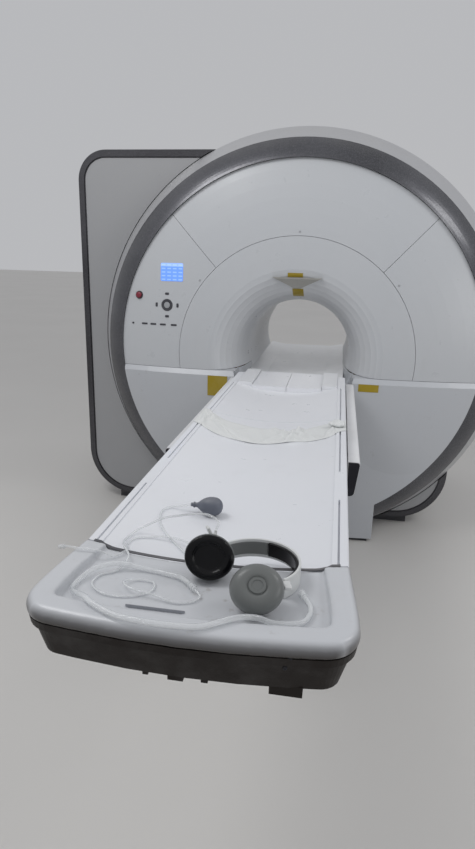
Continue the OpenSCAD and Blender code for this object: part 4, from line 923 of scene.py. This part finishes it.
BULB_R = 0.024
BULB_STEPS = (
    (-0.0240, 0.10), (-0.0236, 0.26), (-0.0222, 0.44), (-0.0190, 0.66), (-0.0140, 0.84), (-0.0070, 0.96),
    (0.0020, 1.0), (0.0110, 0.97), (0.0190, 0.88), (0.0260, 0.74), (0.0320, 0.57), (0.0365, 0.42),
    (0.0400, 0.31), (0.0435, 0.25), (0.0475, 0.24), (0.0480, 0.31), (0.0515, 0.31), (0.0520, 0.21),
    (0.0580, 0.20),
)
bulb_low, bulb_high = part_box("call_bulb")
bulb_middle = (bulb_low + bulb_high) / 2
bulb_place = turned((bulb_high.x - BULB_R, bulb_middle.y, bulb_middle.z), (-90, "Y"))
bulb = loft("squeeze_bulb", bulb_place, BULB_R, BULB_R, BULB_STEPS, bulb_rubber)
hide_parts("call_bulb")

# ---- fittings on the tubes' ends

FITTING_GAP = 0.0005
PLUG_LONG, PLUG_R, COUPLING_LONG, COUPLING_R = 0.022, 0.005, 0.024, 0.007
# Half of a barrel: the share of its length and of its radius at each step.
BARREL_STEPS = ((0.0, 0.66), (0.02, 0.78), (0.16, 0.80), (0.19, 1.0), (0.28, 1.0), (0.31, 0.84))


def barrel(name, start, stop, radius):
    """A moulded connector between two places: a stepped barrel with a collar near each end."""
    way = Vector(stop) - Vector(start)
    long = way.length - 2 * FITTING_GAP
    steps = [(z * long, k) for z, k in BARREL_STEPS]
    steps += [((1 - z) * long, k) for z, k in reversed(BARREL_STEPS)]
    place = along(Vector(start) + way.normalized() * FITTING_GAP, way)
    return loft(name, place, radius, radius, steps, clear_tube, 32)


def beyond(route_end, before, reach):
    """A route's last place, and the place that lies straight on from it."""
    end = Vector(route_end)
    return end, end + (end - Vector(before)).normalized() * reach


call_joint = barrel("call_connector", *beyond(CALL_ROUTE[-1], CALL_ROUTE[-2], PLUG_LONG), PLUG_R)
tube_joint = barrel("tube_junction", HEADSET_ROUTE[-1], SUPPLY_ROUTE[-1], COUPLING_R)
supply_joint = barrel("supply_coupling", *beyond(SUPPLY_ROUTE[0], SUPPLY_ROUTE[1], COUPLING_LONG), COUPLING_R)
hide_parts("tube_fittings")


# ---- the belt across the table, with its folds and the folded-over end at the right

# Across the table, along it, how far its middle hangs towards the foot, and where its ends lie.
BELT_HALF, BELT_WIDE, BELT_SAG, BELT_Y = 0.286, 0.190, 0.120, -1.000
BELT_LONG, BELT_THICK, BELT_LIFT = 0.60, 0.0014, 0.0012
# Place along the belt, slant, width and height of each fold.
BELT_FOLDS = (
    (-0.262, 0.2, 0.010, 0.009), (-0.236, -0.4, 0.009, 0.008), (-0.200, 0.9, 0.013, 0.014),
    (-0.160, 1.3, 0.012, 0.010), (-0.120, -0.7, 0.014, 0.003), (-0.020, 0.3, 0.016, 0.003),
    (0.045, -0.6, 0.011, 0.009), (0.074, 0.8, 0.012, 0.015), (0.100, -0.3, 0.011, 0.019),
    (0.130, 0.5, 0.012, 0.013), (0.205, 0.4, 0.012, 0.004), (0.236, -0.3, 0.009, 0.008),
)
# Where the belt is gathered: the place, the width of the gather and how much narrower the belt is there.
BELT_GATHERS = ((0.10, 0.05, 0.34), (0.27, 0.03, 0.30))


def bell(x, middle, width):
    """A soft hump: 1 at its middle, and next to nothing two widths away."""
    return math.exp(-(((x - middle) / width) ** 2))


def belt_height(x, v):
    """The table's height below the belt, and the folds that stand up from it."""
    middle = BELT_WIDE / 2
    fold = sum(high * bell(x, x0 - slant * (v - middle), wide) for x0, slant, wide, high in BELT_FOLDS)
    fold *= math.sin(min(1.0, v / 0.05) * math.pi / 2) * min(1.0, (BELT_WIDE - v) / 0.03)
    slack = 0.0012 * math.sin(31 * x + 22 * v) * math.sin(17 * x - 9 * v)
    end = min(max(0.0, abs(x) - 0.235) / 0.05, 1)
    return table_height(x) + BELT_LIFT + fold * (1 - 0.4 * end) + slack * (1 - end)


def make_belt():
    """The belt as a fine grid, each point set on the table top or on a fold."""
    belt = flat_grid(2 * BELT_HALF, BELT_WIDE, 150, 44)
    for point in belt.data.vertices:
        x, across = point.co.x, point.co.y
        pull = 0.005 * math.sin(19 * x + 1.3) + 0.003 * math.sin(43 * x)
        sag = BELT_SAG * (1 - (x / BELT_HALF) ** 2)
        narrow = 1 - sum(share * bell(x, place, wide) for place, wide, share in BELT_GATHERS)
        y = BELT_Y - sag - BELT_WIDE / 2 + across * narrow + pull
        point.co = (x, y, belt_height(x, across + BELT_WIDE / 2))
    bpy.ops.object.mode_set(mode="EDIT")
    end_piece(belt, "table_belt", Matrix.Identity(4), belt_white, 60)
    wall = belt.modifiers.new("cloth", "SOLIDIFY")
    wall.thickness, wall.offset = BELT_THICK, 1
    return belt


KNOT_AT, KNOT_THICK, KNOT_WIDE = (0.219, -1.118, RIM_TOP + 0.011), 0.013, 0.034
KNOT_STEPS = (
    (0.0, 0.30), (0.007, 0.62), (0.014, 0.50), (0.023, 0.84), (0.034, 1.0), (0.044, 0.94), (0.050, 0.70),
    (0.054, 0.76), (0.059, 0.60), (0.062, 0.28),
)


def make_knot():
    """The belt's end at the right, rolled up on the rail."""
    place = turned(KNOT_AT, (7, "Z"), (90, "Y"))
    knot = loft("belt_end_roll", place, KNOT_THICK, KNOT_WIDE, KNOT_STEPS, belt_white, 32)
    lumps = bpy.data.textures.new("belt_lumps", "CLOUDS")
    lumps.noise_scale = 0.016
    refine(knot, 2)
    uneven = knot.modifiers.new("uneven", "DISPLACE")
    uneven.texture, uneven.strength, uneven.mid_level = lumps, 0.008, 0.5
    return knot


belt = make_belt()
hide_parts("body_strap")
make_knot()

# ---------------------------------------------------------------- stage and light


def lay_floor():
    """A pale floor that goes on to the horizon."""
    bpy.ops.object.select_all(action="DESELECT")
    bpy.ops.mesh.primitive_plane_add(size=80, location=(0, 0, 0))
    floor = bpy.context.object
    floor.name = "studio_floor"
    material, tree, shader = new_finish("studio_floor", Roughness=0.55)
    place = tree.nodes.new("ShaderNodeTexCoord").outputs["Object"]
    drift = ramp(tree, noise(tree, place, 0.6, 3.0), 0.3, 0.7)
    tone = mix_colour(tree, drift, (0.66, 0.645, 0.62, 1), (0.69, 0.675, 0.65, 1))
    tree.links.new(tone, shader["Base Color"])
    floor.data.materials.append(material)


def light_world():
    """Even light from all round, and colours shown as they are."""
    world = bpy.data.worlds.new("studio")
    world.use_nodes = True
    sky = world.node_tree.nodes["Background"].inputs
    sky["Color"].default_value = (0.86, 0.87, 0.90, 1)
    sky["Strength"].default_value = 0.56
    bpy.context.scene.world = world
    bpy.context.scene.view_settings.view_transform = "Standard"


def soft_light(name, place, aim, size, power):
    """A lit panel that shines from its place to its aim and isn't seen itself."""
    data = bpy.data.lights.new(name, "AREA")
    data.shape, data.size, data.size_y = "RECTANGLE", size[0], size[1]
    data.energy = power
    lamp = bpy.data.objects.new(name, data)
    bpy.context.scene.collection.objects.link(lamp)
    lamp.location = place
    lamp.rotation_mode = "QUATERNION"
    lamp.rotation_quaternion = (Vector(aim) - Vector(place)).to_track_quat("-Z", "Y")
    lamp.visible_camera = False


lay_floor()
light_world()
# Each panel's place, aim, size in metres and power in watts.
soft_light("ceiling_panel_right", (2.5, -1.3, 3.3), (0.5, 0.0, 1.4), (1.2, 0.9), 18)
soft_light("side_panel", (2.7, -2.6, 1.5), (0.3, -0.9, 0.9), (1.4, 1.0), 8)
soft_light("ceiling_panel_left", (-1.6, -1.9, 3.6), (-0.3, -0.2, 1.2), (1.6, 1.0), 32)
soft_light("table_panel", (0.3, -3.6, 3.4), (0.0, -1.6, 0.9), (2.4, 1.2), 1.5)
soft_light("bore_end_panel", (0.0, 2.3, 1.35), (0.0, 1.2, 1.0), (0.8, 0.6), 0.6)
